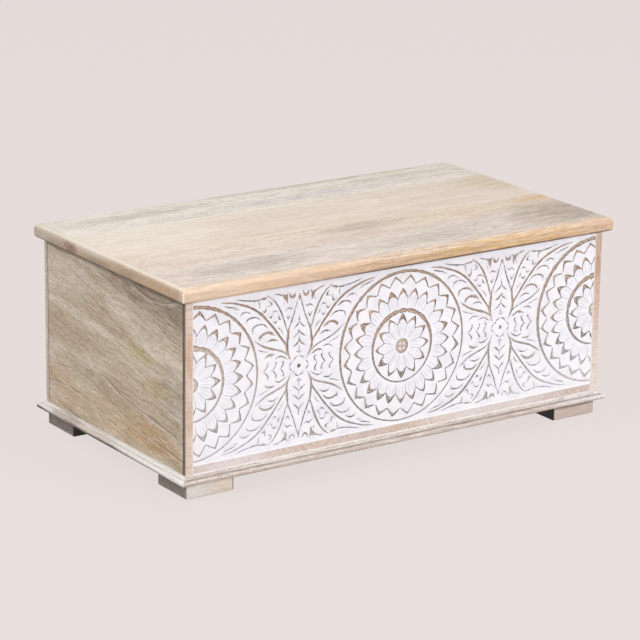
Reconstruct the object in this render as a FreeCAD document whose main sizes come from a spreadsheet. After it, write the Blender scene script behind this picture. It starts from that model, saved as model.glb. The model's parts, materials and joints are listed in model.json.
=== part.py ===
import FreeCAD
import Part
import Sketcher
import os
import re

# Storage trunk of mango wood: a box with a carved front, a hinged lid held by two slotted stays,
# a mitred base moulding and four block feet. Millimetres. The front faces -Y, +Z is up and the
# origin is on the floor under the middle of the trunk.

# Driving sizes, one row of the sheet each.
SIZES = {
    # Lid
    "lid_length": 900,
    "lid_depth": 500,
    "lid_thickness": 26,
    "lid_overhang": 13,
    "lid_top_round": 10,
    "lid_under_round": 7,
    "lid_open_angle": 95,
    "batten_width": 40,
    "batten_height": 18,
    "batten_setback": 237,
    "batten_end_clearance": 32.5,
    "batten_screw_bite": 12,
    # Walls
    "body_height": 300,
    "front_thickness": 9,
    "stile_width": 15,
    "rail_height": 16,
    "panel_recess": 0.8,
    "side_thickness": 15,
    "back_thickness": 9.5,
    "back_screw_bite": 15,
    # Floor and corners
    "floor_thickness": 9,
    "cleat_width": 18,
    "cleat_height": 12,
    "post_width": 22,
    "post_headroom": 13,
    # Base
    "moulding_height": 15,
    "moulding_projection": 13,
    "moulding_bead_radius": 4.4,
    "moulding_quirk": 1,
    "moulding_top_edge": 0.8,
    "foot_height": 28,
    "foot_width": 94,
    "foot_depth": 92,
    "foot_inset": 2,
    "foot_edge_round": 3,
    "foot_screw_radius": 2.2,
    "foot_screw_head_radius": 4.4,
    "foot_screw_recess": 6,
    "foot_screw_end_cover": 2,
    "foot_screw_setback": 45,
    # Carved rings of the front panel
    "mandala_end_offset": 4,
    "mandala_height": 155,
    "outer_ring_radius": 130.5,
    "outer_ring_groove": 2.3,
    "inner_ring_radius": 62,
    "inner_ring_groove": 3,
    # Hinges
    "hinge_setback": 125,
    "hinge_length": 64,
    "hinge_leaf_width": 28,
    "hinge_leaf_thickness": 1.6,
    "hinge_barrel_radius": 3.6,
    "hinge_barrel_gap": 0.4,
    "hinge_knuckle_gap": 0.3,
    "hinge_pin_radius": 2,
    "hinge_pin_head_radius": 3,
    "hinge_pin_head_length": 1.4,
    "hinge_mortise_gap": 0.3,
    # Small screws and fits
    "screw_radius": 1.5,
    "screw_head_radius": 3,
    "hinge_screw_length": 9,
    "running_clearance": 0.05,
    # Lid stays
    "stay_reach": 110,
    "stay_pivot_angle": 4.2,
    "stay_rest_angle": 12,
    "stay_arm_width": 15,
    "stay_arm_thickness": 2,
    "stay_side_gap": 0.4,
    "stay_standoff": 2.4,
    "stay_stud_radius": 3,
    "stay_stud_collar_radius": 5,
    "stay_stud_head_radius": 6.5,
    "stay_stud_shank_radius": 2.5,
    "stay_stud_shank_length": 11,
    "stay_head_thickness": 2,
    "stay_slot_clearance": 0.25,
    "stay_pivot_radius": 2.5,
    "stay_pivot_head_radius": 4.5,
    "stay_pivot_head_thickness": 1.4,
    "stay_bracket_length": 34,
    "stay_bracket_width": 14,
    "stay_bracket_thickness": 2,
    "stay_bracket_ear_radius": 8,
    "stay_bracket_screw_distance": 22,
    "stay_bracket_screw_length": 13,
    # How far a cutting tool runs past the face that it cuts
    "overrun": 1,
}

# Counts and shares.
KNUCKLES = 5
BOARD_EDGE_SHARES = (0.0, 0.25, 0.422, 0.758, 1.0)
BATTEN_SCREW_SHARES = (0.08, 0.29, 0.615, 0.92)
LEAF_SCREW_SHARES = (0.16, 0.5, 0.84)
LEAF_SCREW_ROW_SHARE = 0.62
BACK_SCREW_SHARES = (0.15, 0.5, 0.85)
BRACKET_SCREW_ROW_SHARE = 0.6
BRACKET_SCREW_SHARES = (-0.5, 0.5)
MIDDLE_SHARE = 0.5

# Places and sizes worked out from the driving sizes.
PLACES = {
    "body_half_length": "lid_length / 2 - lid_overhang",
    "body_half_depth": "lid_depth / 2 - lid_overhang",
    "inner_half_length": "body_half_length - side_thickness",
    "panel_half_length": "body_half_length - stile_width",
    "front_inner": "front_thickness - body_half_depth",
    "back_inner": "body_half_depth - back_thickness",
    "inner_depth": "back_inner - front_inner",
    "moulding_top": "foot_height + moulding_height",
    "lid_under": "moulding_top + body_height",
    "wall_height": "lid_under - foot_height",
    "rail_top": "moulding_top + rail_height",
    "floor_under": "foot_height + cleat_height",
    "floor_top": "floor_under + floor_thickness",
    "post_height": "lid_under - post_headroom - floor_top",
    "batten_left": "batten_setback - body_half_length",
    "batten_length": "2 * (back_inner - batten_end_clearance)",
    "mandala_middle": "moulding_top + mandala_height",
    "mandala_step": "panel_half_length + mandala_end_offset",
    "bead_middle": "moulding_projection - moulding_bead_radius",
    "bead_top": "2 * moulding_bead_radius",
    "cove_middle": "bead_middle - moulding_quirk",
    "cove_height": "moulding_height - moulding_top_edge - bead_top",
    "cove_radius": "min(cove_height; cove_middle - moulding_top_edge)",
    "cove_top": "bead_top + cove_radius",
    "foot_screw_length": "floor_under - foot_screw_end_cover - foot_screw_recess",
    "hinge_axis_y": "body_half_depth + hinge_barrel_radius + hinge_barrel_gap",
    "hinge_axis_z": "lid_under - hinge_barrel_radius - hinge_barrel_gap",
    "hinge_left_end": "hinge_setback - body_half_length",
    "hinge_leaf_reach": "hinge_leaf_width - hinge_barrel_radius - hinge_barrel_gap",
    "knuckle_length": f"(hinge_length - {KNUCKLES - 1} * hinge_knuckle_gap) / {KNUCKLES}",
    "knuckle_step": "knuckle_length + hinge_knuckle_gap",
    "mortise_depth": "hinge_leaf_thickness + hinge_mortise_gap",
    "stay_pivot_y": "hinge_axis_y - stay_reach * cos(stay_pivot_angle)",
    "stay_pivot_z": "hinge_axis_z - stay_reach * sin(stay_pivot_angle)",
    "stay_stud_y": "hinge_axis_y - stay_reach * cos(stay_pivot_angle + stay_rest_angle)",
    "stay_stud_z": "hinge_axis_z - stay_reach * sin(stay_pivot_angle + stay_rest_angle)",
    "stay_lean": "stay_pivot_angle + stay_rest_angle / 2",
    "stay_slot_start": "2 * stay_reach * sin(stay_rest_angle / 2)",
    "stay_slot_end": "2 * stay_reach * sin((stay_rest_angle + lid_open_angle) / 2)",
    "stay_arm_end_radius": "stay_arm_width / 2",
    "stay_slot_radius": "stay_stud_radius + stay_slot_clearance",
    "stay_eye_radius": "stay_pivot_radius + running_clearance",
    "stay_arm_outer": "stay_standoff + stay_side_gap - inner_half_length",
    "stay_arm_inner": "stay_arm_outer + stay_arm_thickness",
    "stay_ear_outer": "stay_arm_inner + stay_side_gap",
    "stay_ear_inner": "stay_ear_outer + stay_bracket_thickness",
}

ALONG_X = FreeCAD.Rotation(FreeCAD.Vector(0, 1, 0), 90)
INTO_BACK = FreeCAD.Rotation(FreeCAD.Vector(1, 0, 0), 90)
UPRIGHT = FreeCAD.Rotation()
HALF_TURN = FreeCAD.Rotation(FreeCAD.Vector(0, 0, 1), 180)
QUARTER_TURN = FreeCAD.Rotation(FreeCAD.Vector(0, 0, 1), 90)
SIDEWAYS = FreeCAD.Vector(1, 0, 0)
LENGTHWISE = FreeCAD.Vector(0, 1, 0)

doc = FreeCAD.newDocument("Trunk")
nodes = {}


def fill_sheet(name, rows):
    """One named cell for each row."""
    sheet = doc.addObject("Spreadsheet::Sheet", name)
    for number, (alias, content) in enumerate(rows.items(), start=1):
        sheet.set(f"A{number}", alias)
        sheet.set(f"B{number}", content)
        sheet.setAlias(f"B{number}", alias)
    return sheet


def linked(formula):
    """The formula with each size and place named by its sheet."""
    def with_sheet(match):
        word = match.group(0)
        if word in SIZES:
            return "Sizes." + word
        return "Places." + word if word in PLACES else word
    return re.sub(r"[a-z_]+", with_sheet, formula)


sizes = fill_sheet("Sizes", {alias: str(value) for alias, value in SIZES.items()})
places = fill_sheet("Places", {alias: "=" + linked(formula) for alias, formula in PLACES.items()})
doc.recompute()


def value(alias):
    """The number that a size or place has now, for a sketch's first drawing."""
    sheet = sizes if alias in SIZES else places
    return float(getattr(sheet, alias))


def bind(thing, **formulas):
    for prop, formula in formulas.items():
        thing.setExpression(prop, linked(formula))


def place(thing, where, turn=UPRIGHT):
    """Put a thing at three formulas, turned by a fixed rotation."""
    thing.Placement.Rotation = turn
    for axis, formula in zip("xyz", where):
        thing.setExpression("Placement.Base." + axis, linked(formula))
    return thing


def box(name, low, size):
    block = doc.addObject("Part::Box", name)
    bind(block, Length=size[0], Width=size[1], Height=size[2])
    return place(block, low)


def rod(name, start, radius, length, turn=UPRIGHT):
    cylinder = doc.addObject("Part::Cylinder", name)
    bind(cylinder, Radius=radius, Height=length)
    return place(cylinder, start, turn)


def joined(name, things):
    union = doc.addObject("Part::MultiFuse", name)
    union.Shapes = things
    return union


def shared(name, things):
    common = doc.addObject("Part::MultiCommon", name)
    common.Shapes = things
    return common


def less(name, base, tools):
    cut = doc.addObject("Part::Cut", name)
    cut.Base = base
    cut.Tool = tools[0] if len(tools) == 1 else joined(name + "_tools", tools)
    return cut


def mirrored(name, source, normal=SIDEWAYS):
    mirror = doc.addObject("Part::Mirroring", name)
    mirror.Source = source
    mirror.Normal = normal
    return mirror


def node(label, thing):
    """Keep a finished sub-part under its own label."""
    thing.Label = label
    nodes[label] = thing
    return thing


def pair(stem, left):
    """A left piece and its mirror image on the right."""
    node(stem + "_left", left)
    node(stem + "_right", mirrored(stem + "_right", left))


def screw(name, head, length, turn, kind, clearance="0"):
    """A countersunk screw from its head along local +Z, or the hole for one when it has a clearance."""
    shank_radius = f"{kind}_radius"
    head_radius = f"{kind}_head_radius"
    cone = doc.addObject("Part::Cone", name + "_head")
    bind(
        cone,
        Radius1=f"{head_radius} + {clearance}",
        Radius2=f"{shank_radius} + {clearance}",
        Height=f"{head_radius} - {shank_radius}",
    )
    place(cone, head, turn)
    shank = rod(name + "_shank", head, f"{shank_radius} + {clearance}", f"{length} + {clearance}", turn)
    return joined(name, [cone, shank])


def screws_and_holes(name, heads, length, turn=UPRIGHT, kind="screw"):
    """Screws of one kind at these heads, and the holes that they sit in."""
    made = []
    holes = []
    for i, head in enumerate(heads, start=1):
        made.append(screw(f"{name}_{i}", head, length, turn, kind))
        holes.append(screw(f"{name}_hole_{i}", head, length, turn, kind, "running_clearance"))
    return made, holes


def origin_plane(body, role):
    return next(feature for feature in body.Origin.OriginFeatures if feature.Role == role)


def sketch_on(body, name, role):
    sketch = body.newObject("Sketcher::SketchObject", name)
    sketch.AttachmentSupport = [(origin_plane(body, role), "")]
    sketch.MapMode = "FlatFace"
    return sketch


def dimension(sketch, name, formula, *constraint):
    """Add a named dimension and tie it to its formula."""
    index = sketch.addConstraint(Sketcher.Constraint(*constraint))
    sketch.renameConstraint(index, name)
    sketch.setExpression("Constraints." + name, linked(formula))


def padded(body, sketch, length, side):
    pad = body.newObject("PartDesign::Pad", sketch.Name + "_pad")
    pad.Profile = sketch
    pad.SideType = side
    bind(pad, Length=length)
    body.Tip = pad
    return pad


def edge_names(feature, test):
    return [f"Edge{i}" for i, edge in enumerate(feature.Shape.Edges, start=1) if test(edge.BoundBox)]


def rounded(body, base, name, radius, test):
    """Round the edges of a body's feature whose boxes pass the test."""
    fillet = body.newObject("PartDesign::Fillet", name)
    fillet.Base = (base, edge_names(base, test))
    bind(fillet, Radius=radius)
    body.Tip = fillet
    doc.recompute()
    return fillet


def block_body(name, low, size):
    """A body that starts as a plain block."""
    body = doc.addObject("PartDesign::Body", name)
    block = body.newObject("PartDesign::AdditiveBox", name + "_block")
    bind(block, Length=size[0], Width=size[1], Height=size[2])
    place(block, low)
    doc.recompute()
    return body, block


# Lid: one slab with a rolled edge all round, mitred at its corners, ripped into four boards.
def rolled_slab(name, along):
    """The slab with only the edges that run along X or along Y rolled."""
    low = ("-lid_length / 2", "-lid_depth / 2", "lid_under")
    body, block = block_body(name, low, ("lid_length", "lid_depth", "lid_thickness"))
    extent = "XLength" if along == "x" else "YLength"
    middle = value("lid_under") + value("lid_thickness") / 2

    def on_top(edge):
        return edge.ZMin > middle and getattr(edge, extent) > value("lid_thickness")

    def underneath(edge):
        return edge.ZMax < middle and getattr(edge, extent) > value("lid_thickness")

    top_roll = rounded(body, block, name + "_top_roll", "lid_top_round", on_top)
    rounded(body, top_roll, name + "_under_roll", "lid_under_round", underneath)
    return body


def lid():
    rolls = [rolled_slab("lid_roll_front", "x"), rolled_slab("lid_roll_ends", "y")]
    holes = lid_fittings()
    for number, (start, end) in enumerate(zip(BOARD_EDGE_SHARES, BOARD_EDGE_SHARES[1:]), start=1):
        strip = box(
            f"lid_strip_{number}",
            ("-lid_length / 2", f"lid_depth * {start - MIDDLE_SHARE}", "lid_under"),
            ("lid_length", f"lid_depth * {end - start}", "lid_thickness"),
        )
        board = shared(f"lid_board_{number}_blank", rolls + [strip])
        node(f"lid_board_{number}", less(f"lid_board_{number}", board, holes))


def lid_fittings():
    """Battens, leaves and brackets under the lid with their screws. Gives the holes for those screws."""
    batten_under = "lid_under - batten_height"
    batten_low = ("batten_left", "-batten_length / 2", batten_under)
    batten = box("lid_batten_blank", batten_low, ("batten_width", "batten_length", "batten_height"))
    heads = [
        ("batten_left + batten_width / 2", f"batten_length * {share - MIDDLE_SHARE}", batten_under)
        for share in BATTEN_SCREW_SHARES
    ]
    made, batten_holes = screws_and_holes("lid_batten_screw", heads, "batten_height + batten_screw_bite")
    pair("lid_batten", less("lid_batten_left", batten, batten_holes))
    screw_pair("lid_batten_screws", made)

    heads = [
        (
            f"hinge_left_end + hinge_length * {share}",
            f"hinge_axis_y - hinge_leaf_width * {LEAF_SCREW_ROW_SHARE}",
            "lid_under - hinge_leaf_thickness",
        )
        for share in LEAF_SCREW_SHARES
    ]
    made, leaf_holes = screws_and_holes("hinge_lid_screw", heads, "hinge_screw_length")
    screw_pair("hinge_lid_screws", made)
    pair("hinge_lid_leaf", lid_leaf(leaf_holes))

    heads = [
        (
            f"stay_ear_outer + stay_bracket_width * {BRACKET_SCREW_ROW_SHARE}",
            f"stay_pivot_y + stay_bracket_screw_distance * {share}",
            "lid_under - stay_bracket_thickness",
        )
        for share in BRACKET_SCREW_SHARES
    ]
    made, bracket_holes = screws_and_holes("stay_bracket_screw", heads, "stay_bracket_screw_length")
    screw_pair("stay_bracket_screws", made)
    pair("stay_bracket", stay_bracket(bracket_holes))

    left_holes = joined("lid_holes_left", batten_holes + leaf_holes + bracket_holes)
    return [left_holes, mirrored("lid_holes_right", left_holes)]


def screw_pair(label, left_screws):
    """Screws of the left side and their mirror images, as one group."""
    left = joined(label + "_left", left_screws)
    node(label, joined(label, [left, mirrored(label + "_right", left)]))


# Hinges: two leaves rolled round one pin, the pin just behind the back and just under the lid.
def knuckles(name, first, tab_low, tab_size):
    """Every second knuckle of a barrel, each with the tab that joins it to its leaf."""
    made = []
    for number in range(first, KNUCKLES, 2):
        start = f"hinge_left_end + {number} * knuckle_step"
        axis_point = (start, "hinge_axis_y", "hinge_axis_z")
        barrel_name = f"{name}_barrel_{number}"
        barrel = rod(barrel_name, axis_point, "hinge_barrel_radius", "knuckle_length", ALONG_X)
        tab = box(f"{name}_tab_{number}", (start,) + tab_low, ("knuckle_length",) + tab_size)
        made += [barrel, tab]
    return made


def pin_bore(name):
    start = ("hinge_left_end - overrun", "hinge_axis_y", "hinge_axis_z")
    return rod(name, start, "hinge_pin_radius + running_clearance", "hinge_length + 2 * overrun", ALONG_X)


def lid_leaf(holes):
    """The leaf under the lid, lying in a shallow mortise in the top edge of the back."""
    barrel_room = "hinge_barrel_radius + hinge_barrel_gap"
    plate = box(
        "hinge_lid_plate",
        ("hinge_left_end", "hinge_axis_y - hinge_leaf_width", "lid_under - hinge_leaf_thickness"),
        ("hinge_length", "hinge_leaf_reach", "hinge_leaf_thickness"),
    )
    tabs = knuckles(
        "hinge_lid",
        1,
        ("body_half_depth", "lid_under - hinge_leaf_thickness"),
        (barrel_room, "hinge_leaf_thickness"),
    )
    blank = joined("hinge_lid_blank", [plate] + tabs)
    return less("hinge_lid_leaf_left", blank, [pin_bore("hinge_lid_bore")] + holes)


def body_leaf(holes):
    """The leaf on the outside of the back, below the barrel."""
    plate = box(
        "hinge_body_plate",
        ("hinge_left_end", "body_half_depth", "hinge_axis_z - hinge_leaf_width"),
        ("hinge_length", "hinge_leaf_thickness", "hinge_leaf_reach"),
    )
    tabs = knuckles(
        "hinge_body",
        0,
        ("body_half_depth", "hinge_axis_z - hinge_barrel_radius - hinge_barrel_gap"),
        ("hinge_leaf_thickness", "hinge_barrel_radius + hinge_barrel_gap"),
    )
    blank = joined("hinge_body_blank", [plate] + tabs)
    return less("hinge_body_leaf_left", blank, [pin_bore("hinge_body_bore")] + holes)


def hinge_pin():
    """A pin with a button head at each end of the barrel."""
    left = ("hinge_left_end - hinge_pin_head_length", "hinge_axis_y", "hinge_axis_z")
    right = ("hinge_left_end + hinge_length", "hinge_axis_y", "hinge_axis_z")
    length = "hinge_length + 2 * hinge_pin_head_length"
    shaft = rod("hinge_pin_shaft", left, "hinge_pin_radius", length, ALONG_X)
    heads = [
        rod(f"hinge_pin_head_{i}", end, "hinge_pin_head_radius", "hinge_pin_head_length", ALONG_X)
        for i, end in enumerate((left, right), start=1)
    ]
    return joined("hinge_pin_left", [shaft] + heads)


# Lid stays: a slotted arm that turns on a bracket under the lid and slides on a stud in the side.
def long_hole(sketch, stem, start, end, radius):
    """A round-ended outline up the sketch's own Y, from the origin if it has no start."""
    low = value(start) if start else 0
    high = value(end)
    r = value(radius)
    first = sketch.GeometryCount
    flat = FreeCAD.Vector(0, 0, 1)
    bottom = Part.Circle(FreeCAD.Vector(0, low, 0), flat, r)
    top = Part.Circle(FreeCAD.Vector(0, high, 0), flat, r)
    half = FreeCAD.Units.Quantity("180 deg").getValueAs("rad").Value
    sketch.addGeometry(Part.ArcOfCircle(bottom, half, 2 * half))
    sketch.addGeometry(Part.LineSegment(FreeCAD.Vector(r, low, 0), FreeCAD.Vector(r, high, 0)))
    sketch.addGeometry(Part.ArcOfCircle(top, 0, half))
    sketch.addGeometry(Part.LineSegment(FreeCAD.Vector(-r, high, 0), FreeCAD.Vector(-r, low, 0)))
    for step in range(4):
        sketch.addConstraint(Sketcher.Constraint("Tangent", first + step, 2, first + (step + 1) % 4, 1))
    sketch.addConstraint(Sketcher.Constraint("Equal", first, first + 2))
    for arc in (first, first + 2):
        sketch.addConstraint(Sketcher.Constraint("PointOnObject", arc, 3, -2))
    if start:
        dimension(sketch, stem + "_start", start, "DistanceY", -1, 1, first, 3, low)
    else:
        sketch.addConstraint(Sketcher.Constraint("PointOnObject", first, 3, -1))
    dimension(sketch, stem + "_end", end, "DistanceY", -1, 1, first + 2, 3, high)
    dimension(sketch, stem + "_radius", radius, "Radius", first, r)


def stay_arm():
    """The arm's pivot is its body's origin and the arm runs along the body's +Z."""
    body = doc.addObject("PartDesign::Body", "stay_arm_left")
    sketch = sketch_on(body, "stay_arm_outline", "YZ_Plane")
    long_hole(sketch, "arm", None, "stay_slot_end", "stay_arm_end_radius")
    long_hole(sketch, "slot", "stay_slot_start", "stay_slot_end", "stay_slot_radius")
    eye_radius = value("stay_eye_radius")
    eye = sketch.addGeometry(Part.Circle(FreeCAD.Vector(), FreeCAD.Vector(0, 0, 1), eye_radius))
    sketch.addConstraint(Sketcher.Constraint("Coincident", eye, 3, -1, 1))
    dimension(sketch, "eye_radius", "stay_eye_radius", "Radius", eye, eye_radius)
    doc.recompute()
    padded(body, sketch, "stay_arm_thickness", "One side")
    place(body, ("stay_arm_outer", "stay_pivot_y", "stay_pivot_z"), FreeCAD.Rotation(SIDEWAYS, 180))
    body.setExpression("Placement.Rotation.Angle", linked("180 + stay_lean"))
    return body


def stay_bracket(holes):
    """A small angle: a plate under the lid and an ear that carries the arm's pivot."""
    plate = box(
        "stay_bracket_plate",
        ("stay_ear_outer", "stay_pivot_y - stay_bracket_length / 2", "lid_under - stay_bracket_thickness"),
        ("stay_bracket_width", "stay_bracket_length", "stay_bracket_thickness"),
    )
    ear = box(
        "stay_bracket_ear",
        ("stay_ear_outer", "stay_pivot_y - stay_bracket_ear_radius", "stay_pivot_z"),
        ("stay_bracket_thickness", "2 * stay_bracket_ear_radius", "lid_under - stay_pivot_z"),
    )
    nose = rod(
        "stay_bracket_nose",
        ("stay_ear_outer", "stay_pivot_y", "stay_pivot_z"),
        "stay_bracket_ear_radius",
        "stay_bracket_thickness",
        ALONG_X,
    )
    eye = rod(
        "stay_bracket_eye",
        ("stay_ear_outer - overrun", "stay_pivot_y", "stay_pivot_z"),
        "stay_eye_radius",
        "stay_bracket_thickness + 2 * overrun",
        ALONG_X,
    )
    return less("stay_bracket_left", joined("stay_bracket_blank", [plate, ear, nose]), [eye] + holes)


def turned(name, steps, centre):
    """The steps of a turned pin that lies along X, each from its start, radius and length."""
    return [
        rod(f"{name}_{i}", (start,) + centre, radius, length, ALONG_X)
        for i, (start, radius, length) in enumerate(steps, start=1)
    ]


def stay_pivot():
    """A rivet through the arm and the bracket's ear, headed on both sides."""
    start = "stay_arm_outer - stay_side_gap"
    centre = ("stay_pivot_y", "stay_pivot_z")
    steps = (
        (f"{start} - stay_pivot_head_thickness", "stay_pivot_head_radius", "stay_pivot_head_thickness"),
        (start, "stay_pivot_radius", f"stay_ear_inner - ({start})"),
        ("stay_ear_inner", "stay_pivot_head_radius", "stay_pivot_head_thickness"),
    )
    return joined("stay_pivot_left", turned("stay_pivot_step", steps, centre))


def stay_stud():
    """A shouldered stud driven into the side, and the hole it sits in."""
    wall = "-inner_half_length"
    centre = ("stay_stud_y", "stay_stud_z")
    journal = "stay_arm_thickness + 2 * stay_side_gap"
    steps = (
        (f"{wall} - stay_stud_shank_length", "stay_stud_shank_radius", "stay_stud_shank_length"),
        (wall, "stay_stud_collar_radius", "stay_standoff"),
        (f"{wall} + stay_standoff", "stay_stud_radius", journal),
        (f"{wall} + stay_standoff + {journal}", "stay_stud_head_radius", "stay_head_thickness"),
    )
    hole = rod(
        "stay_stud_hole",
        (f"{wall} - stay_stud_shank_length - running_clearance",) + centre,
        "stay_stud_shank_radius + running_clearance",
        "stay_stud_shank_length + overrun",
        ALONG_X,
    )
    return joined("stay_stud_left", turned("stay_stud_step", steps, centre)), hole


# Walls
def walls(stud_hole):
    heads = [
        ("side_thickness / 2 - body_half_length", "body_half_depth", f"foot_height + wall_height * {share}")
        for share in BACK_SCREW_SHARES
    ]
    made, back_holes = screws_and_holes("back_screw", heads, "back_thickness + back_screw_bite", INTO_BACK)
    screw_pair("back_panel_screws", made)
    side = box(
        "side_panel_blank",
        ("-body_half_length", "front_inner", "foot_height"),
        ("side_thickness", "inner_depth", "wall_height"),
    )
    pair("side_panel", less("side_panel_left", side, back_holes + [stud_hole]))
    back(back_holes)
    stile = box(
        "front_stile_left",
        ("-body_half_length", "-body_half_depth", "foot_height"),
        ("stile_width", "front_thickness", "wall_height"),
    )
    pair("front_stile", stile)
    rail = box(
        "front_bottom_rail",
        ("-panel_half_length", "-body_half_depth", "foot_height"),
        ("2 * panel_half_length", "front_thickness", "rail_top - foot_height"),
    )
    node("front_bottom_rail", rail)
    node("carved_panel", carved_panel())


def back(back_holes):
    """The back, with a mortise in its top edge for each lid leaf and the body leaves on its outside."""
    heads = [
        (
            f"hinge_left_end + hinge_length * {share}",
            "body_half_depth + hinge_leaf_thickness",
            f"hinge_axis_z - hinge_leaf_width * {LEAF_SCREW_ROW_SHARE}",
        )
        for share in LEAF_SCREW_SHARES
    ]
    made, leaf_holes = screws_and_holes("hinge_body_screw", heads, "hinge_screw_length", INTO_BACK)
    screw_pair("hinge_body_screws", made)
    pair("hinge_body_leaf", body_leaf(leaf_holes))
    mortise = box(
        "hinge_mortise",
        ("hinge_left_end - hinge_mortise_gap", "back_inner - overrun", "lid_under - mortise_depth"),
        ("hinge_length + 2 * hinge_mortise_gap", "back_thickness + 2 * overrun", "mortise_depth + overrun"),
    )
    left_cuts = joined("back_cuts_left", [mortise] + leaf_holes + back_holes)
    blank = box(
        "back_panel_blank",
        ("-body_half_length", "back_inner", "foot_height"),
        ("2 * body_half_length", "back_thickness", "wall_height"),
    )
    node("back_panel", less("back_panel", blank, [left_cuts, mirrored("back_cuts_right", left_cuts)]))


def carved_panel():
    """The front panel with the ring grooves of a whole mandala and of the half mandalas at its ends."""
    face = "panel_recess - body_half_depth"
    blank = box(
        "carved_panel_blank",
        ("-panel_half_length", face, "rail_top"),
        ("2 * panel_half_length", "front_thickness - panel_recess", "lid_under - rail_top"),
    )
    grooves = []
    for step in (-1, 0, 1):
        for ring in ("outer_ring", "inner_ring"):
            groove = doc.addObject("Part::Torus", f"{ring}_{step + 2}")
            bind(groove, Radius1=ring + "_radius", Radius2=ring + "_groove")
            middle = (f"{step} * mandala_step", face, "mandala_middle")
            grooves.append(place(groove, middle, INTO_BACK))
    return less("carved_panel", blank, grooves)


# Floor, corner posts, feet and moulding
def foot_screw_heads():
    """One screw up into a side cleat and one into a front cleat, for the front left foot."""
    return [
        ("cleat_width / 2 - inner_half_length", "foot_screw_setback - body_half_depth", "foot_screw_recess"),
        ("foot_screw_setback - body_half_length", "front_inner + cleat_width / 2", "foot_screw_recess"),
    ]


def at_four_corners(name, things):
    """What is at the front left corner, and its mirror images at the other three."""
    front = joined(name + "_front_left", things)
    back = mirrored(name + "_back_left", front, LENGTHWISE)
    right = [mirrored(f"{name}_{side}_right", left) for side, left in (("front", front), ("back", back))]
    return [front, back] + right


def base():
    heads = foot_screw_heads()
    made, holes = screws_and_holes("foot_screw", heads, "foot_screw_length", kind="foot_screw")
    well_radius = "foot_screw_head_radius + running_clearance"
    wells = [
        rod(f"foot_screw_well_{i}", (x, y, "-overrun"), well_radius, f"{z} + overrun")
        for i, (x, y, z) in enumerate(heads, start=1)
    ]
    node("foot_screws", joined("foot_screws", at_four_corners("foot_screws", made)))
    corner_holes = at_four_corners("foot_holes", holes)

    body, block = block_body(
        "foot_block",
        ("foot_inset - body_half_length", "foot_inset - body_half_depth", "0"),
        ("foot_width", "foot_depth", "foot_height"),
    )
    top = value("foot_height") - value("running_clearance")
    rounded(body, block, "foot_edges", "foot_edge_round", lambda edge: edge.ZMin < top)
    foot = less("foot_front_left", body, holes + wells)
    pair("foot_front", foot)
    pair("foot_back", mirrored("foot_back_left", foot, LENGTHWISE))
    floor(corner_holes)


def floor(foot_holes):
    node(
        "floor_panel",
        box(
            "floor_panel",
            ("-inner_half_length", "front_inner", "floor_under"),
            ("2 * inner_half_length", "inner_depth", "floor_thickness"),
        ),
    )
    for side, start in (("front", "front_inner"), ("back", "back_inner - cleat_width")):
        cleat = box(
            f"floor_cleat_{side}_blank",
            ("-inner_half_length", start, "foot_height"),
            ("2 * inner_half_length", "cleat_width", "cleat_height"),
        )
        node(f"floor_cleat_{side}", less(f"floor_cleat_{side}", cleat, foot_holes))
    cleat = box(
        "floor_cleat_side_blank",
        ("-inner_half_length", "front_inner + cleat_width", "foot_height"),
        ("cleat_width", "inner_depth - 2 * cleat_width", "cleat_height"),
    )
    pair("floor_cleat", less("floor_cleat_left", cleat, foot_holes))
    for side, start in (("front", "front_inner"), ("back", "back_inner - post_width")):
        post = box(
            f"corner_post_{side}_left",
            ("-inner_half_length", start, "floor_top"),
            ("post_width", "post_width", "post_height"),
        )
        pair(f"corner_post_{side}", post)


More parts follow.
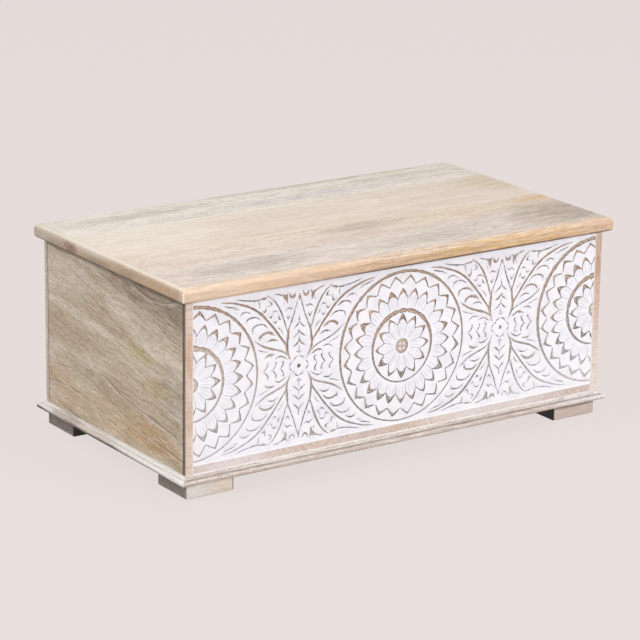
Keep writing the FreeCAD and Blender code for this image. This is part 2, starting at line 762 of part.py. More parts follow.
def moulding_profile(body, name):
    """Bead, quirk, cove and a thin top edge, drawn outwards from the wall along the sketch's own X."""
    sketch = sketch_on(body, name, "YZ_Plane")
    height = value("moulding_height")
    bead = value("moulding_bead_radius")
    bead_x = value("bead_middle")
    bead_y = value("bead_top")
    cove = value("cove_radius")
    cove_x = value("cove_middle")
    cove_y = value("cove_top")
    flat = FreeCAD.Vector(0, 0, 1)
    quarter = FreeCAD.Units.Quantity("90 deg").getValueAs("rad").Value

    def point(x, y):
        return FreeCAD.Vector(x, y, 0)

    bead_circle = Part.Circle(point(bead_x, bead), flat, bead)
    cove_circle = Part.Circle(point(cove_x, cove_y), flat, cove)
    shapes = [
        Part.LineSegment(point(0, 0), point(bead_x, 0)),
        Part.ArcOfCircle(bead_circle, -quarter, quarter),
        Part.LineSegment(point(bead_x, bead_y), point(cove_x, bead_y)),
        Part.ArcOfCircle(cove_circle, 2 * quarter, 3 * quarter),
        Part.LineSegment(point(cove_x - cove, cove_y), point(cove_x - cove, height)),
        Part.LineSegment(point(cove_x - cove, height), point(0, height)),
        Part.LineSegment(point(0, height), point(0, 0)),
    ]
    for shape in shapes:
        sketch.addGeometry(shape)
    bottom, bead_arc, quirk, cove_arc, top_edge, ledge, wall = range(len(shapes))
    meeting = (
        (bottom, 2, bead_arc, 1),
        (bead_arc, 2, quirk, 1),
        (quirk, 2, cove_arc, 2),
        (cove_arc, 1, top_edge, 1),
        (top_edge, 2, ledge, 1),
        (ledge, 2, wall, 1),
        (wall, 2, bottom, 1),
        (wall, 2, -1, 1),
    )
    for ends in meeting:
        sketch.addConstraint(Sketcher.Constraint("Coincident", *ends))
    for line in (bottom, quirk, ledge):
        sketch.addConstraint(Sketcher.Constraint("Horizontal", line))
    for line in (top_edge, wall):
        sketch.addConstraint(Sketcher.Constraint("Vertical", line))
    sketch.addConstraint(Sketcher.Constraint("Vertical", bead_arc, 1, bead_arc, 3))
    sketch.addConstraint(Sketcher.Constraint("Vertical", bead_arc, 2, bead_arc, 3))
    sketch.addConstraint(Sketcher.Constraint("Vertical", cove_arc, 2, cove_arc, 3))
    sketch.addConstraint(Sketcher.Constraint("Horizontal", cove_arc, 1, cove_arc, 3))
    dimension(sketch, "height", "moulding_height", "DistanceY", -1, 1, wall, 1, height)
    dimension(sketch, "bead", "moulding_bead_radius", "Radius", bead_arc, bead)
    dimension(sketch, "bead_out", "bead_middle", "DistanceX", -1, 1, bead_arc, 3, bead_x)
    dimension(sketch, "cove_out", "cove_middle", "DistanceX", -1, 1, cove_arc, 3, cove_x)
    dimension(sketch, "cove_up", "cove_top", "DistanceY", -1, 1, cove_arc, 3, cove_y)
    doc.recompute()
    return sketch


def moulding_strip(name, half_length, where, turn):
    """One side of the moulding, cut to a mitre at both ends."""
    body = doc.addObject("PartDesign::Body", name + "_run")
    sketch = moulding_profile(body, name + "_profile")
    padded(body, sketch, f"2 * ({half_length} + moulding_projection)", "Symmetric")
    mitre = doc.addObject("Part::Wedge", name + "_mitre")
    outer_half_length = f"({half_length} + moulding_projection)"
    bind(mitre, Ymin="0", Xmin="-" + half_length, Xmax=half_length, Zmin="0", Zmax="moulding_height")
    bind(mitre, Ymax="moulding_projection", X2min="-" + outer_half_length, X2max=outer_half_length)
    bind(mitre, Z2min="0", Z2max="moulding_height")
    return place(shared(name, [body, mitre]), where, turn)


def mouldings():
    front_place = ("0", "-body_half_depth", "foot_height")
    front = moulding_strip("base_moulding_front", "body_half_length", front_place, HALF_TURN)
    node("base_moulding_front", front)
    node("base_moulding_back", mirrored("base_moulding_back", front, LENGTHWISE))
    side_place = ("-body_half_length", "0", "foot_height")
    pair("base_moulding", moulding_strip("base_moulding_left", "body_half_depth", side_place, QUARTER_TURN))


lid()
pair("hinge_pin", hinge_pin())
stud, stud_hole = stay_stud()
pair("stay_stud", stud)
pair("stay_arm", stay_arm())
pair("stay_pivot", stay_pivot())
walls(stud_hole)
base()
mouldings()
doc.recompute()

# Nothing is written unless every object of the document is sound.
for thing in doc.Objects:
    if {"Invalid", "Error"} & set(thing.State):
        raise RuntimeError(f"{thing.Label} did not recompute: {thing.State}")
for label, thing in nodes.items():
    if thing.Shape.isNull() or not thing.Shape.isValid() or not thing.Shape.Solids:
        raise RuntimeError(f"{label} has no sound solid")

os.makedirs("parts", exist_ok=True)
for label, thing in nodes.items():
    thing.Shape.exportStep(f"parts/{label}.step")
    print(f"{label}: {len(thing.Shape.Solids)} solids, {thing.Shape.Volume:.0f} mm3")
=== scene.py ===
import json
import math
import random

import bmesh
import bpy
import numpy as np
from mathutils import Matrix, Vector, kdtree
from mathutils.geometry import delaunay_2d_cdt

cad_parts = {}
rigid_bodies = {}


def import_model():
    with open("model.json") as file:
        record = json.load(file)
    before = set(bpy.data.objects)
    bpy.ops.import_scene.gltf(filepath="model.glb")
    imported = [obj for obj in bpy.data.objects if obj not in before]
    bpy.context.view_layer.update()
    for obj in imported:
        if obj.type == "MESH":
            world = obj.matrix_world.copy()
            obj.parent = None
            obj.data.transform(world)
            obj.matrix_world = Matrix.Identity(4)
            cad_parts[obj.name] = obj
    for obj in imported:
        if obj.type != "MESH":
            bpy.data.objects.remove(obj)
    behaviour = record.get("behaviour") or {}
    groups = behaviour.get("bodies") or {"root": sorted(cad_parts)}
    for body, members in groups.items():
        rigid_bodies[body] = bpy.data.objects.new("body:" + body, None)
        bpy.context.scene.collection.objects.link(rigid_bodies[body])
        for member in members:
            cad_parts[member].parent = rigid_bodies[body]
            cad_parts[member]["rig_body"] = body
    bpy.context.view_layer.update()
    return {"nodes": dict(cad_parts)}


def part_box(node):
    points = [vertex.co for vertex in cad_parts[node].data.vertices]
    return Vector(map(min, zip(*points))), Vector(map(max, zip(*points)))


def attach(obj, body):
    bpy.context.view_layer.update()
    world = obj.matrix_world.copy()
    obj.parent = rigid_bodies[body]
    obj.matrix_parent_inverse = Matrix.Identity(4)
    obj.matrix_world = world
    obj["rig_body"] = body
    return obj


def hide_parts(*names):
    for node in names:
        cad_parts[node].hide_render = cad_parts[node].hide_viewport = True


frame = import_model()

# Storage trunk of limewashed mango wood with a carved, white-painted front. The script dresses the CAD
# model: it rounds the corners of the boards, carves the front, sets the screws and finishes each surface.

MM = 0.001
SEED = 7


# Colours and nodes

def colour(code):
    """The linear colour of an sRGB hex code."""
    shares = [int(code[at:at + 2], 16) / 255 for at in (1, 3, 5)]
    return [s / 12.92 if s <= 0.04045 else ((s + 0.055) / 1.055) ** 2.4 for s in shares] + [1.0]


def add(tree, kind, inputs=None, **settings):
    """Add a node with its settings and its inputs: values, nodes or sockets."""
    node = tree.nodes.new(kind)
    for name, setting in settings.items():
        setattr(node, name, setting)
    for key, source in (inputs or {}).items():
        socket = node.inputs[key] if isinstance(key, int) else next(
            s for s in node.inputs if s.enabled and s.name == key)
        if isinstance(source, bpy.types.Node):
            source = next(s for s in source.outputs if s.enabled)
        if isinstance(source, bpy.types.NodeSocket):
            tree.links.new(source, socket)
        else:
            socket.default_value = source
    return node


def new_tree(name):
    """A material with an empty tree."""
    material = bpy.data.materials.new(name)
    material.use_nodes = True
    material.node_tree.nodes.clear()
    return material, material.node_tree


def lay(tree, tone, coats):
    """Lay coats of colour over a tone. Each has the value that it follows, the levels at which it starts and
    is full, its strength there and its colour."""
    for value, low, full, most, coat in coats:
        if most:
            cover = add(tree, "ShaderNodeMapRange", {
                "Value": value, "From Min": low, "From Max": full, "To Min": 0.0, "To Max": most})
            over = colour(coat) if isinstance(coat, str) else coat
            tone = add(tree, "ShaderNodeMix", {"Factor": cover, "A": tone, "B": over}, data_type="RGBA")
    return tone


# The grain makes a mark ragged: at the low level of its noise it takes a share of the mark away, at the high
# level it adds one. Over the full level a mark has all of its strength.
RAGGED_LOW, RAGGED_HIGH = 0.35, 0.65
RAGGED_LOSS_SHARE = 0.8
RAGGED_GAIN_SHARE = 0.5
FULL_MARK = 0.5


def mark(tree, tone, marks, place, grain):
    """Lay marks over a tone. Each has a colour, its middle and its reach in millimetres, its strength and the
    share of it that the grain makes ragged."""
    for code, centre, reach, strength, ragged_share in marks:
        near = add(tree, "ShaderNodeMapping", {
            "Vector": place, "Location": [c * MM for c in centre],
            "Scale": [r * MM for r in reach]}, vector_type="TEXTURE")
        spot = add(tree, "ShaderNodeTexGradient", {"Vector": near}, gradient_type="SPHERICAL")
        streaks = add(tree, "ShaderNodeMapRange", {
            "Value": grain, "From Min": RAGGED_LOW, "From Max": RAGGED_HIGH,
            "To Min": 1 - RAGGED_LOSS_SHARE * ragged_share, "To Max": 1 + RAGGED_GAIN_SHARE * ragged_share})
        broken = add(tree, "ShaderNodeMath", {0: spot, 1: streaks}, operation="MULTIPLY")
        tone = lay(tree, tone, ((broken, 0.0, FULL_MARK, strength, code),))
    return tone


# Mango wood

# Patterns of the grain: length along it and width across it in millimetres, detail of the noise and bend.
# Mango fibres and pores are under a millimetre wide, too fine for the picture, so they are drawn this coarse.
GRAIN = {
    "fibre": (42, 2.2, 4.0, 0.0),
    "pore": (11, 1.6, 1.0, 0.0),
    "speck": (5.0, 1.7, 2.0, 0.0),
    "cloud": (300, 40, 3.0, 0.4),
    "figure": (700, 130, 2.0, 0.3),
    "saw": (2.6, 30, 2.0, 0.3),
}
# Growth lines: their gap, how far the figure bends them and the shares of fading and of wash in them.
RING_GAP = 38 * MM
RING_WAVES = 5.0
RING_FADE_SHARE = 0.3
RING_WASH_SHARE = 0.6
GRAIN_RELIEF = 0.3 * MM
GRAIN_BUMP_SHARE = 0.4
WAXED_ROUGHNESS = (0.5, 0.68)
LIMEWASH = "#F2ECE4"
# Nearly all of a noise lies between these values.
NOISE_LOW, NOISE_HIGH = 0.3, 0.7

# Turns, in degrees, that lay the pattern's grain along an axis of the trunk, near it or aslant.
ALONG_X = (0, 0, 0)
ALONG_Y = (0, 0, -90)
ALONG_Z = (0, 90, 0)
NEAR_Y = (-7, 0, -90)
ASLANT = (0, 32, 0)


def mango_wood(name, grain, tones, shift, run_share=1.0, figure_share=0.3, streak_share=0.5, wash_share=0.4,
               speck_share=0.3, saw_share=0.0, stains_and_painted_light=(), wear_and_painted_light=()):
    """Mango wood, sawn, sanded and limewashed under a dull wax: short streaks, long growth lines and open
    pores, with the wash left pale in the fibres. Stains, among them some painted shade and painted
    highlights, lie under the grain at their places; wear, painted shade and painted highlights lie over it."""
    material, tree = new_tree(name)
    pale, middle, dark = tones
    place = add(tree, "ShaderNodeTexCoord").outputs["Object"]
    turn = [math.radians(angle) for angle in grain]
    laid = add(tree, "ShaderNodeMapping", {
        "Vector": place, "Rotation": turn, "Location": (shift, shift, shift)})
    noise = {}
    for pattern, (length, width, detail, bend) in GRAIN.items():
        scale = (1 / (run_share * length * MM), 1 / (width * MM), 1 / (width * MM))
        stretched = add(tree, "ShaderNodeMapping", {"Vector": laid, "Scale": scale})
        noise[pattern] = add(tree, "ShaderNodeTexNoise", {
            "Vector": stretched, "Scale": 1.0, "Detail": detail, "Distortion": bend})
    across = add(tree, "ShaderNodeVectorMath", {0: laid, 1: (0, 1 / RING_GAP, 1 / RING_GAP)},
                 operation="DOT_PRODUCT")
    count = add(tree, "ShaderNodeMath", {0: noise["figure"], 1: RING_WAVES, 2: across},
                operation="MULTIPLY_ADD")
    ring = add(tree, "ShaderNodeMath", {0: count}, operation="FRACT")
    fading = add(tree, "ShaderNodeMath", {0: noise["cloud"], 1: RING_FADE_SHARE, 2: ring},
                 operation="MULTIPLY_ADD")
    tone = lay(tree, colour(middle), ((noise["cloud"], 0.4, 0.6, 1.0, pale),))
    tone = mark(tree, tone, stains_and_painted_light, place, noise["fibre"])
    tone = lay(tree, tone, (
        (fading, 0.22, 0.13, figure_share, dark),
        (ring, 0.86, 1.0, RING_WASH_SHARE * figure_share, LIMEWASH),
        (noise["fibre"], 0.50, 0.66, streak_share, dark),
        (noise["fibre"], 0.48, 0.34, wash_share, LIMEWASH),
        (noise["pore"], 0.54, 0.66, streak_share, dark),
        (noise["speck"], 0.51, 0.66, speck_share, dark),
        (noise["speck"], 0.49, 0.34, speck_share, LIMEWASH),
        (noise["saw"], 0.50, 0.64, saw_share, dark)))
    tone = mark(tree, tone, wear_and_painted_light, place, noise["fibre"])
    height = add(tree, "ShaderNodeMath", {0: noise["fibre"], 1: noise["pore"]}, operation="SUBTRACT")
    bump = add(tree, "ShaderNodeBump", {
        "Height": height, "Strength": GRAIN_BUMP_SHARE, "Distance": GRAIN_RELIEF})
    smoothest, roughest = WAXED_ROUGHNESS
    rough = add(tree, "ShaderNodeMapRange", {
        "Value": noise["fibre"], "From Min": NOISE_LOW, "From Max": NOISE_HIGH, "To Min": smoothest,
        "To Max": roughest})
    shader = add(tree, "ShaderNodeBsdfPrincipled", {"Base Color": tone, "Roughness": rough, "Normal": bump})
    add(tree, "ShaderNodeOutputMaterial", {"Surface": shader})
    return material


# Carved drawing, in millimetres on the panel's face: u to the right and v up from the middle mandala.

MANDALA_HEIGHT = 198.0
MANDALA_STEP = 426.0
MANDALA_SHARES = (0.988, 1.022)
CELL = MANDALA_STEP / 2

# Steps of the face's mesh along a line, on the ground and on the border, how far the ground stays clear of
# the cuts, how near two points are merged, the least sides of a circle and the angle that stays sharp.
CURVE_STEP = 2.6
GROUND_STEP = 3.4
BORDER_STEP = 2.4
CLEAR_OF_CUTS = 1.5
MERGE_REACH = 0.02
CIRCLE_SIDES = 12
CARVED_SHARP_ANGLE = 25
TINY = 1e-9

# The hand: how a stroke runs out, how its width wobbles and how far it strays in place, width and turn.
STROKE_END_SHARE = 0.2
WOBBLE_SHARE = 0.24
WOBBLE_RUN = 2.9
HAND_SHIFT = 0.7
HAND_WIDTH_SHARE = 0.16
HAND_TURN_SHARE = 0.06
FLUTE_TURN = 0.8

# The ground: worn shoulders beside the cuts, shallow waves and their runs, and the deepest cut.
SHOULDER = 3.0
SHOULDER_DEPTH = 0.7
GROUND_WAVE = 0.18
GROUND_RUN, GROUND_BEND, GROUND_RISE = 23, 31, 19
DEEPEST = 2.6

# A stain of one is the dark edge of a cut, bare wood darkened further as painted shade along the cut's wall,
# one of three the bare wood in the middle of a wide cut and one of five the paint left on the lumps of a
# boss.
DARK_STAIN = 1.0
BARE_STAIN = 3.0
PAINT_STAIN = 5.0
WIDE_CUT = 3.6

# Rings round a mandala: radius, half width, depth, the share by which it swells and the angle where it does.
RINGS = (
    (130.8, 1.9, 2.0, 0.45, 118.0),
    (62.6, 2.4, 2.3, 0.45, 95.0),
    (11.6, 1.5, 2.0, 0.2, 90.0),
)
# Widths of the rings in the left, middle and right mandala.
RING_WIDTH_SHARES = (1.3, 1.1, 1.35)
# The boss in a mandala's middle: a shallow dome with four pale lumps.
BOSS_RADIUS = 11.0
BOSS_SINK = 1.0
BOSS_LINES = (2.0, 4.4, 6.8, 9.2)
LUMP_RADIUS = 2.6
LUMP_OUT = 5.4
LUMP_ANGLES = (45, 135, 225, 315)

# Rings of pointed petals: count, first angle, radius of tips and of feet, share of the outline that is
# straight rather than arched, thickness of the chip at its tip and at its feet, roundness of its inner edge
# and depth.
PETALS = (
    (12, 90.0, 57.5, 41.5, 0.55, 8.0, 4.0, 2.2, 2.6),
    (24, 90.0, 102.5, 86.5, 0.55, 7.8, 3.8, 2.2, 2.4),
    (24, 97.5, 125.0, 111.5, 0.8, 5.4, 3.0, 1.4, 1.9),
)
CHIP_FOOT_SHARE = 0.88
CHIP_POINTS = 13
# Shares of the chips that are cut fuller, in the left, middle and right mandala.
FULL_CHIP_SHARES = (0.4, 0.3, 0.75)
FULL_CHIP_GROWTH = 1.5
# The fuller chips keep teeth of wood that stand across them: turns of the wave, its points, where it starts
# on the way over the chip and how much of the chip it fills.
TEETH = 4
FULL_CHIP_POINTS = 33
TOOTH_START_SHARE = 0.6
TOOTH_SHARE = 0.9
# Section of a chip from its outline to the petal: shares of the way over its dark edge, then over the rest,
# with the depth shares and the stains there.
CHIP_EDGE = 1.9
CHIP_EDGE_SHARE = 0.5
CHIP_WAY_SHARES = (0.0, 0.35, 0.75, 1.0, 1.85, 2.0)
CHIP_DEPTH_SHARES = (0.0, 0.9, 1.0, 0.9, 0.4, 0.0)
CHIP_STAINS = (0.0, 1.0, 1.0, 2.6, 2.4, 0.0)

# Flutes along the petals: count, first angle, inner and outer radius, width, depth.
FLUTES = (
    (12, 105.0, 15.0, 44.0, 3.6, 1.4),
    (12, 95.5, 19.0, 48.0, 2.4, 0.9),
    (12, 84.5, 19.0, 48.0, 2.4, 0.9),
    (24, 97.5, 67.0, 90.0, 3.6, 1.4),
    (24, 92.6, 68.0, 94.0, 2.4, 0.9),
    (24, 87.4, 68.0, 94.0, 2.4, 0.9),
)
# Strokes of a quarter of the flower, from the mandala at (0, 0) to the flower at (213, 0): width, the share
# of it on the stroke's left, depth, tone and the given points of its line.
STROKES = (
    # Stems that rise from the flower to the top border and to the ring
    (4.3, 0.5, 2.3, 1.0, ((196, 13), (190, 28), (186, 41), (175, 56), (164, 71), (152, 85), (140, 98.5),
                          (126, 110), (112, 118), (98, 123.5), (80, 129.5), (60, 132.5))),
    (3.8, 0.5, 2.0, 0.95, ((190, 23), (181, 30.5), (170, 35), (158, 39), (146, 43.5), (135, 50),
                           (125, 57.5))),
    (2.4, 0.5, 1.4, 0.7, ((130, 40.5), (140, 36.5), (152, 33))),
    (3.6, 0.5, 1.9, 1.0, ((190, 62), (187, 71), (184, 81), (178, 97), (170, 112), (161, 123.5), (151, 131))),
    # Upright petal: outline, thick neck and tip
    (3.1, 0.5, 1.8, 0.95, ((210.5, 119), (206, 105), (202, 92), (197, 80), (192.5, 68), (190.5, 60))),
    (5.2, 0.5, 2.2, 1.0, ((191, 70), (190, 58), (188.5, 45), (188, 33), (192, 19))),
    (5.2, 0.5, 1.9, 1.0, ((213, 124.5), (213, 117))),
    # Chevrons up the upright petal and along the level petal
    (3.1, 0.35, 1.6, 0.95, ((202, 67), (208, 72), (213, 78))),
    (2.4, 0.5, 1.4, 0.9, ((213, 77), (213, 87))),
    (3.3, 0.35, 1.6, 0.95, ((201, 51), (207, 55), (213, 61))),
    (3.3, 0.35, 1.6, 0.95, ((201, 35), (207, 39.5), (213, 45))),
    (2.4, 0.5, 1.4, 0.9, ((213, 44), (213, 51))),
    (2.4, 0.5, 1.3, 0.9, ((213, 34), (213, 24))),
    (2.5, 0.5, 1.3, 0.9, ((208, 27), (213, 22.5))),
    (2.9, 0.4, 1.6, 0.9, ((143, 0), (148.5, 6), (152, 12), (149, 14))),
    (3.1, 0.4, 1.6, 0.9, ((160, 0), (165, 6), (167.5, 12), (164.5, 13.5))),
    (2.9, 0.4, 1.6, 0.9, ((176, 0), (180.5, 7), (181.5, 12), (178, 12.5))),
    # Dashes round the flower's eye
    (2.9, 0.4, 1.5, 1.0, ((203.5, 12), (207, 15.8), (212, 17.3))),
    (2.5, 0.4, 1.5, 1.0, ((194, 1), (196, 5), (199.5, 8))),
    # Scales above the level petal
    (3.3, 0.3, 1.7, 0.95, ((165, 19.5), (171, 22.8), (178, 22.3), (188, 16))),
    (3.4, 0.3, 1.7, 0.95, ((145, 23.5), (148.5, 27.5), (155.5, 29.3), (163.5, 27))),
    # Crescents between the ring and the tall stem
    (3.3, 0.3, 1.7, 0.95, ((150, 51.5), (156, 54.2), (163, 54.2), (170.5, 50))),
    (4.5, 0.25, 2.0, 1.0, ((134.5, 58.5), (134.5, 63), (140, 66.8), (148, 68.6), (157, 67), (164, 60))),
    (3.3, 0.3, 1.8, 0.95, ((119.5, 72), (119.8, 79), (124.5, 83), (133, 84.6), (142, 83), (150, 76))),
    (3.1, 0.3, 1.7, 0.95, ((107.5, 91.5), (110, 96.8), (118, 99), (127, 98.3), (136, 92))),
    (3.3, 0.3, 1.6, 0.95, ((96, 105), (99.5, 109), (107, 110), (116, 105.5))),
    (3.3, 0.5, 1.5, 0.9, ((64, 126.5), (76, 122.8), (87, 120.5))),
    (2.3, 0.5, 1.2, 0.8, ((83, 118.6), (93, 116.5))),
    # Leaves and chips in the fan between the tall stems
    (3.1, 0.4, 1.6, 1.0, ((88, 134), (102, 130.3), (115, 128), (128, 126.6), (137, 128), (146, 130))),
    (4.2, 0.5, 1.5, 1.0, ((138, 127.5), (147.5, 128.5))),
    (2.5, 0.5, 1.4, 0.9, ((129, 126.5), (132.5, 121), (133, 114))),
    (3.3, 0.5, 1.5, 1.0, ((138.5, 106.5), (144, 103.5), (146, 113))),
    (2.7, 0.5, 1.4, 0.9, ((152, 123), (158.5, 116), (150, 113.5))),
    (2.9, 0.35, 1.4, 0.95, ((159, 100.5), (164.5, 103), (169.5, 100.3))),
    (2.9, 0.5, 1.4, 0.95, ((151.5, 95.5), (156, 92.3), (159, 98))),
    (2.9, 0.5, 1.4, 0.95, ((171, 95), (172.3, 88.5), (176, 86))),
    (3.1, 0.5, 1.4, 0.95, ((160.5, 86), (165, 82), (168.5, 85.5))),
    (2.3, 0.5, 1.2, 0.8, ((170, 73.5), (177, 67.5), (181, 60))),
    # Chips beside the upright petal's tip, and drops along the top border
    (2.5, 0.4, 1.3, 0.9, ((184, 100.5), (189, 103.5), (191.5, 106), (196, 102.5), (200.5, 106))),
    (2.9, 0.5, 1.4, 1.0, ((188, 90.5), (191.5, 85), (194.5, 92))),
    (2.5, 0.5, 1.3, 0.95, ((163, 132.5), (171, 131), (181, 127))),
    (6.1, 0.5, 1.7, 1.0, ((178, 129), (185.5, 124.5), (187.5, 114))),
    (2.7, 0.5, 1.4, 1.0, ((186, 124), (189, 127.5), (190, 131))),
    (2.3, 0.5, 1.1, 0.8, ((182.5, 117), (181, 111))),
    (3.6, 0.5, 1.6, 1.0, ((194.5, 129.5), (195.5, 123.5), (199.5, 121.5), (203.5, 123.5), (205, 128.5))),
)
# The flower's eye, a dot with a hollow middle.
EYE_RADIUS = 2.2
EYE_HALF_WIDTH = 1.7
EYE_DEPTH = 1.8


def rounded_path(points):
    """A curve through given points, with a point about every curve step."""
    points = np.array(points, float)
    padded = np.vstack((2 * points[0] - points[1], points, 2 * points[-1] - points[-2]))
    path = [points[:1]]
    for before, start, end, after in zip(padded, padded[1:], padded[2:], padded[3:]):
        count = max(2, int(np.hypot(*(end - start)) / CURVE_STEP))
        t = (np.arange(count) + 1)[:, None] / count
        path.append(0.5 * (2 * start + (end - before) * t
                           + (2 * before - 5 * start + 4 * end - after) * t ** 2
                           + (3 * start - before - 3 * end + after) * t ** 3))
    return np.vstack(path)


def cut(path, left, right, depth, tone):
    """A cut of the knife along a path: rows of place, half widths, depth and stain. Its width wobbles."""
    ones = np.ones(len(path))
    wide = np.max(left + right) > WIDE_CUT
    stain = tone * (BARE_STAIN if wide else DARK_STAIN)
    u, v = path.T / WOBBLE_RUN
    wobble = 1 + WOBBLE_SHARE * np.sin(u + 2 * np.sin(v / 2)) * np.cos(v)
    return np.column_stack((path, left * wobble, right * wobble, depth * ones, stain * ones))


def spokes(middle, radius, angles):
    """Places at a radius and at angles, in degrees, round a mandala's middle."""
    turns = np.radians(angles)
    out = np.column_stack((np.cos(turns), np.sin(turns)))
    return np.array(middle) + radius * out * MANDALA_SHARES


def circle(middle, radius):
    """A closed line of places round a mandala's middle, and its angles."""
    angles = np.linspace(0, 360, max(CIRCLE_SIDES, int(2 * math.pi * radius / CURVE_STEP)) + 1)
    return spokes(middle, radius, angles), angles


def ring_cut(middle, radius, half_width, depth, swell_share, swell_angle):
    """A groove round a mandala, wider on one side."""
    path, angles = circle(middle, radius)
    swell = 1 + swell_share * np.cos(np.radians(angles - swell_angle))
    return cut(path, half_width * swell, half_width * swell, depth, 1.0)


def stroke(points, width, left_share, depth, tone):
    """A cut that swells from a fine point and runs out to a fine point."""
    path = rounded_path(points)
    run = np.concatenate(([0.0], np.cumsum(np.hypot(*np.diff(path, axis=0).T))))
    swell = np.sqrt(np.clip(np.sin(math.pi * run / run[-1]), 0, 1))
    swell = STROKE_END_SHARE + (1 - STROKE_END_SHARE) * swell
    return cut(path, width * left_share * swell, width * (1 - left_share) * swell, depth * swell, tone)


class Chip:
    """A pointed chip at a petal's tip: straight arms outside, a round arch inside and a hollow between."""

    def __init__(self, middle, angle, half_angle, tip, feet, straight_share, thick, thin, roundness, depth,
                 toothed):
        turn = math.radians(angle)
        self.toothed = toothed
        self.middle = np.array(middle)
        self.out = np.array((math.cos(turn), math.sin(turn)))
        self.across = np.array((-math.sin(turn), math.cos(turn)))
        self.half_width = feet * math.sin(math.radians(half_angle))
        self.low = feet * math.cos(math.radians(half_angle))
        self.tip, self.straight_share = tip, straight_share
        self.thick, self.thin, self.roundness = thick, thin, roundness
        self.depth = depth

    def edges(self, share):
        """How far out the outline lies, and the thickness of its edge and of the chip, at shares of the half
        width."""
        fall = self.straight_share * share + (1 - self.straight_share) * share ** 3
        outline = self.tip - (self.tip - self.low) * fall
        crown = self.tip - self.thick
        thickness = outline - crown + (crown - self.low + self.thin) * share ** self.roundness
        return outline, np.minimum(CHIP_EDGE, CHIP_EDGE_SHARE * thickness), thickness

    def lines(self):
        """Lines across the chip's section, from one foot over the tip to the other."""
        side = np.linspace(-1, 1, FULL_CHIP_POINTS if self.toothed else CHIP_POINTS)
        outline, edge, thickness = self.edges(np.abs(side))
        for way in CHIP_WAY_SHARES:
            reach = outline - min(way, 1) * edge - max(way - 1, 0) * (thickness - edge)
            flat = reach[:, None] * self.out + (side * self.half_width)[:, None] * self.across
            yield self.middle + flat * MANDALA_SHARES

    def section(self, places):
        """The chip's depth and stain at places on the face."""
        flat = (places - self.middle) / MANDALA_SHARES
        side = flat @ self.across / self.half_width
        share = np.abs(side)
        outline, edge, thickness = self.edges(np.minimum(share, 1))
        sunk = outline - flat @ self.out
        way = np.where(sunk < edge, sunk / edge, 1 + (sunk - edge) / (thickness - edge))
        way = np.where(share < 1, way, 0)
        hollow = 1.0
        if self.toothed:
            started = np.clip((way - TOOTH_START_SHARE) / (1 - TOOTH_START_SHARE), 0, 1)
            hollow = 1 - TOOTH_SHARE * started * np.clip(np.cos(TEETH * math.pi * side), 0, 1)
        return (self.depth * hollow * np.interp(way, CHIP_WAY_SHARES, CHIP_DEPTH_SHARES),
                hollow * np.interp(way, CHIP_WAY_SHARES, CHIP_STAINS))


def mandala_chips(middle, full_share, hand):
    """The chips at the petals' tips, each a little different, as carved by hand, and a few cut fuller."""
    for count, first, tip, feet, straight_share, thick, thin, roundness, depth in PETALS:
        half = 180 / count
        for n in range(count):
            angle = first + 2 * half * n + hand.uniform(-HAND_TURN_SHARE, HAND_TURN_SHARE) * half
            grown = thick * (1 + hand.uniform(-HAND_WIDTH_SHARE, HAND_WIDTH_SHARE))
            full = hand.random() < full_share
            if full:
                grown *= FULL_CHIP_GROWTH
            reach = tip + hand.uniform(-HAND_SHIFT, HAND_SHIFT)
            yield Chip(middle, angle, CHIP_FOOT_SHARE * half, reach, feet, straight_share, grown, thin,
                       roundness, depth, full)


def mandala_cuts(middle, width_share, hand):
    """The rings and flutes of a mandala."""
    for radius, half_width, depth, swell_share, swell_angle in RINGS:
        yield ring_cut(middle, radius, width_share * half_width, depth, swell_share, swell_angle)
    for count, first, inner, outer, width, depth in FLUTES:
        for n in range(count):
            angle = first + 360 / count * n + hand.uniform(-FLUTE_TURN, FLUTE_TURN)
            ends = [spokes(middle, radius, [angle])[0] for radius in (inner, outer)]
            yield stroke(ends, width, 0.5, depth, 0.0)


def flower_cuts(middle, hand):
    """The eye of a flower and the strokes of its four quarters, mirrored from one quarter."""
    path, _ = circle((middle, 0.0), EYE_RADIUS)
    yield cut(path, EYE_HALF_WIDTH, EYE_HALF_WIDTH, EYE_DEPTH, 1.0)
    for side in (-1, 1):
        for rise in (-1, 1):
            for width, left_share, depth, tone, points in STROKES:
                width *= 1 + hand.uniform(-HAND_WIDTH_SHARE, HAND_WIDTH_SHARE)
                drift = np.array([hand.uniform(-HAND_SHIFT, HAND_SHIFT) for _ in range(2)])
                line = (np.array(points) - (CELL, 0)) * (side, rise)
                free = (np.abs(line) > HAND_SHIFT) * drift
                flip = left_share if side * rise > 0 else 1 - left_share
                yield stroke(line + free + (middle, 0), width, flip, depth, tone)


def near_box(places, corners, margin):
    """Which places lie in the box round some corners, with a margin."""
    low, high = corners.min(0) - margin, corners.max(0) + margin
    return np.flatnonzero(((places > low) & (places < high)).all(1))


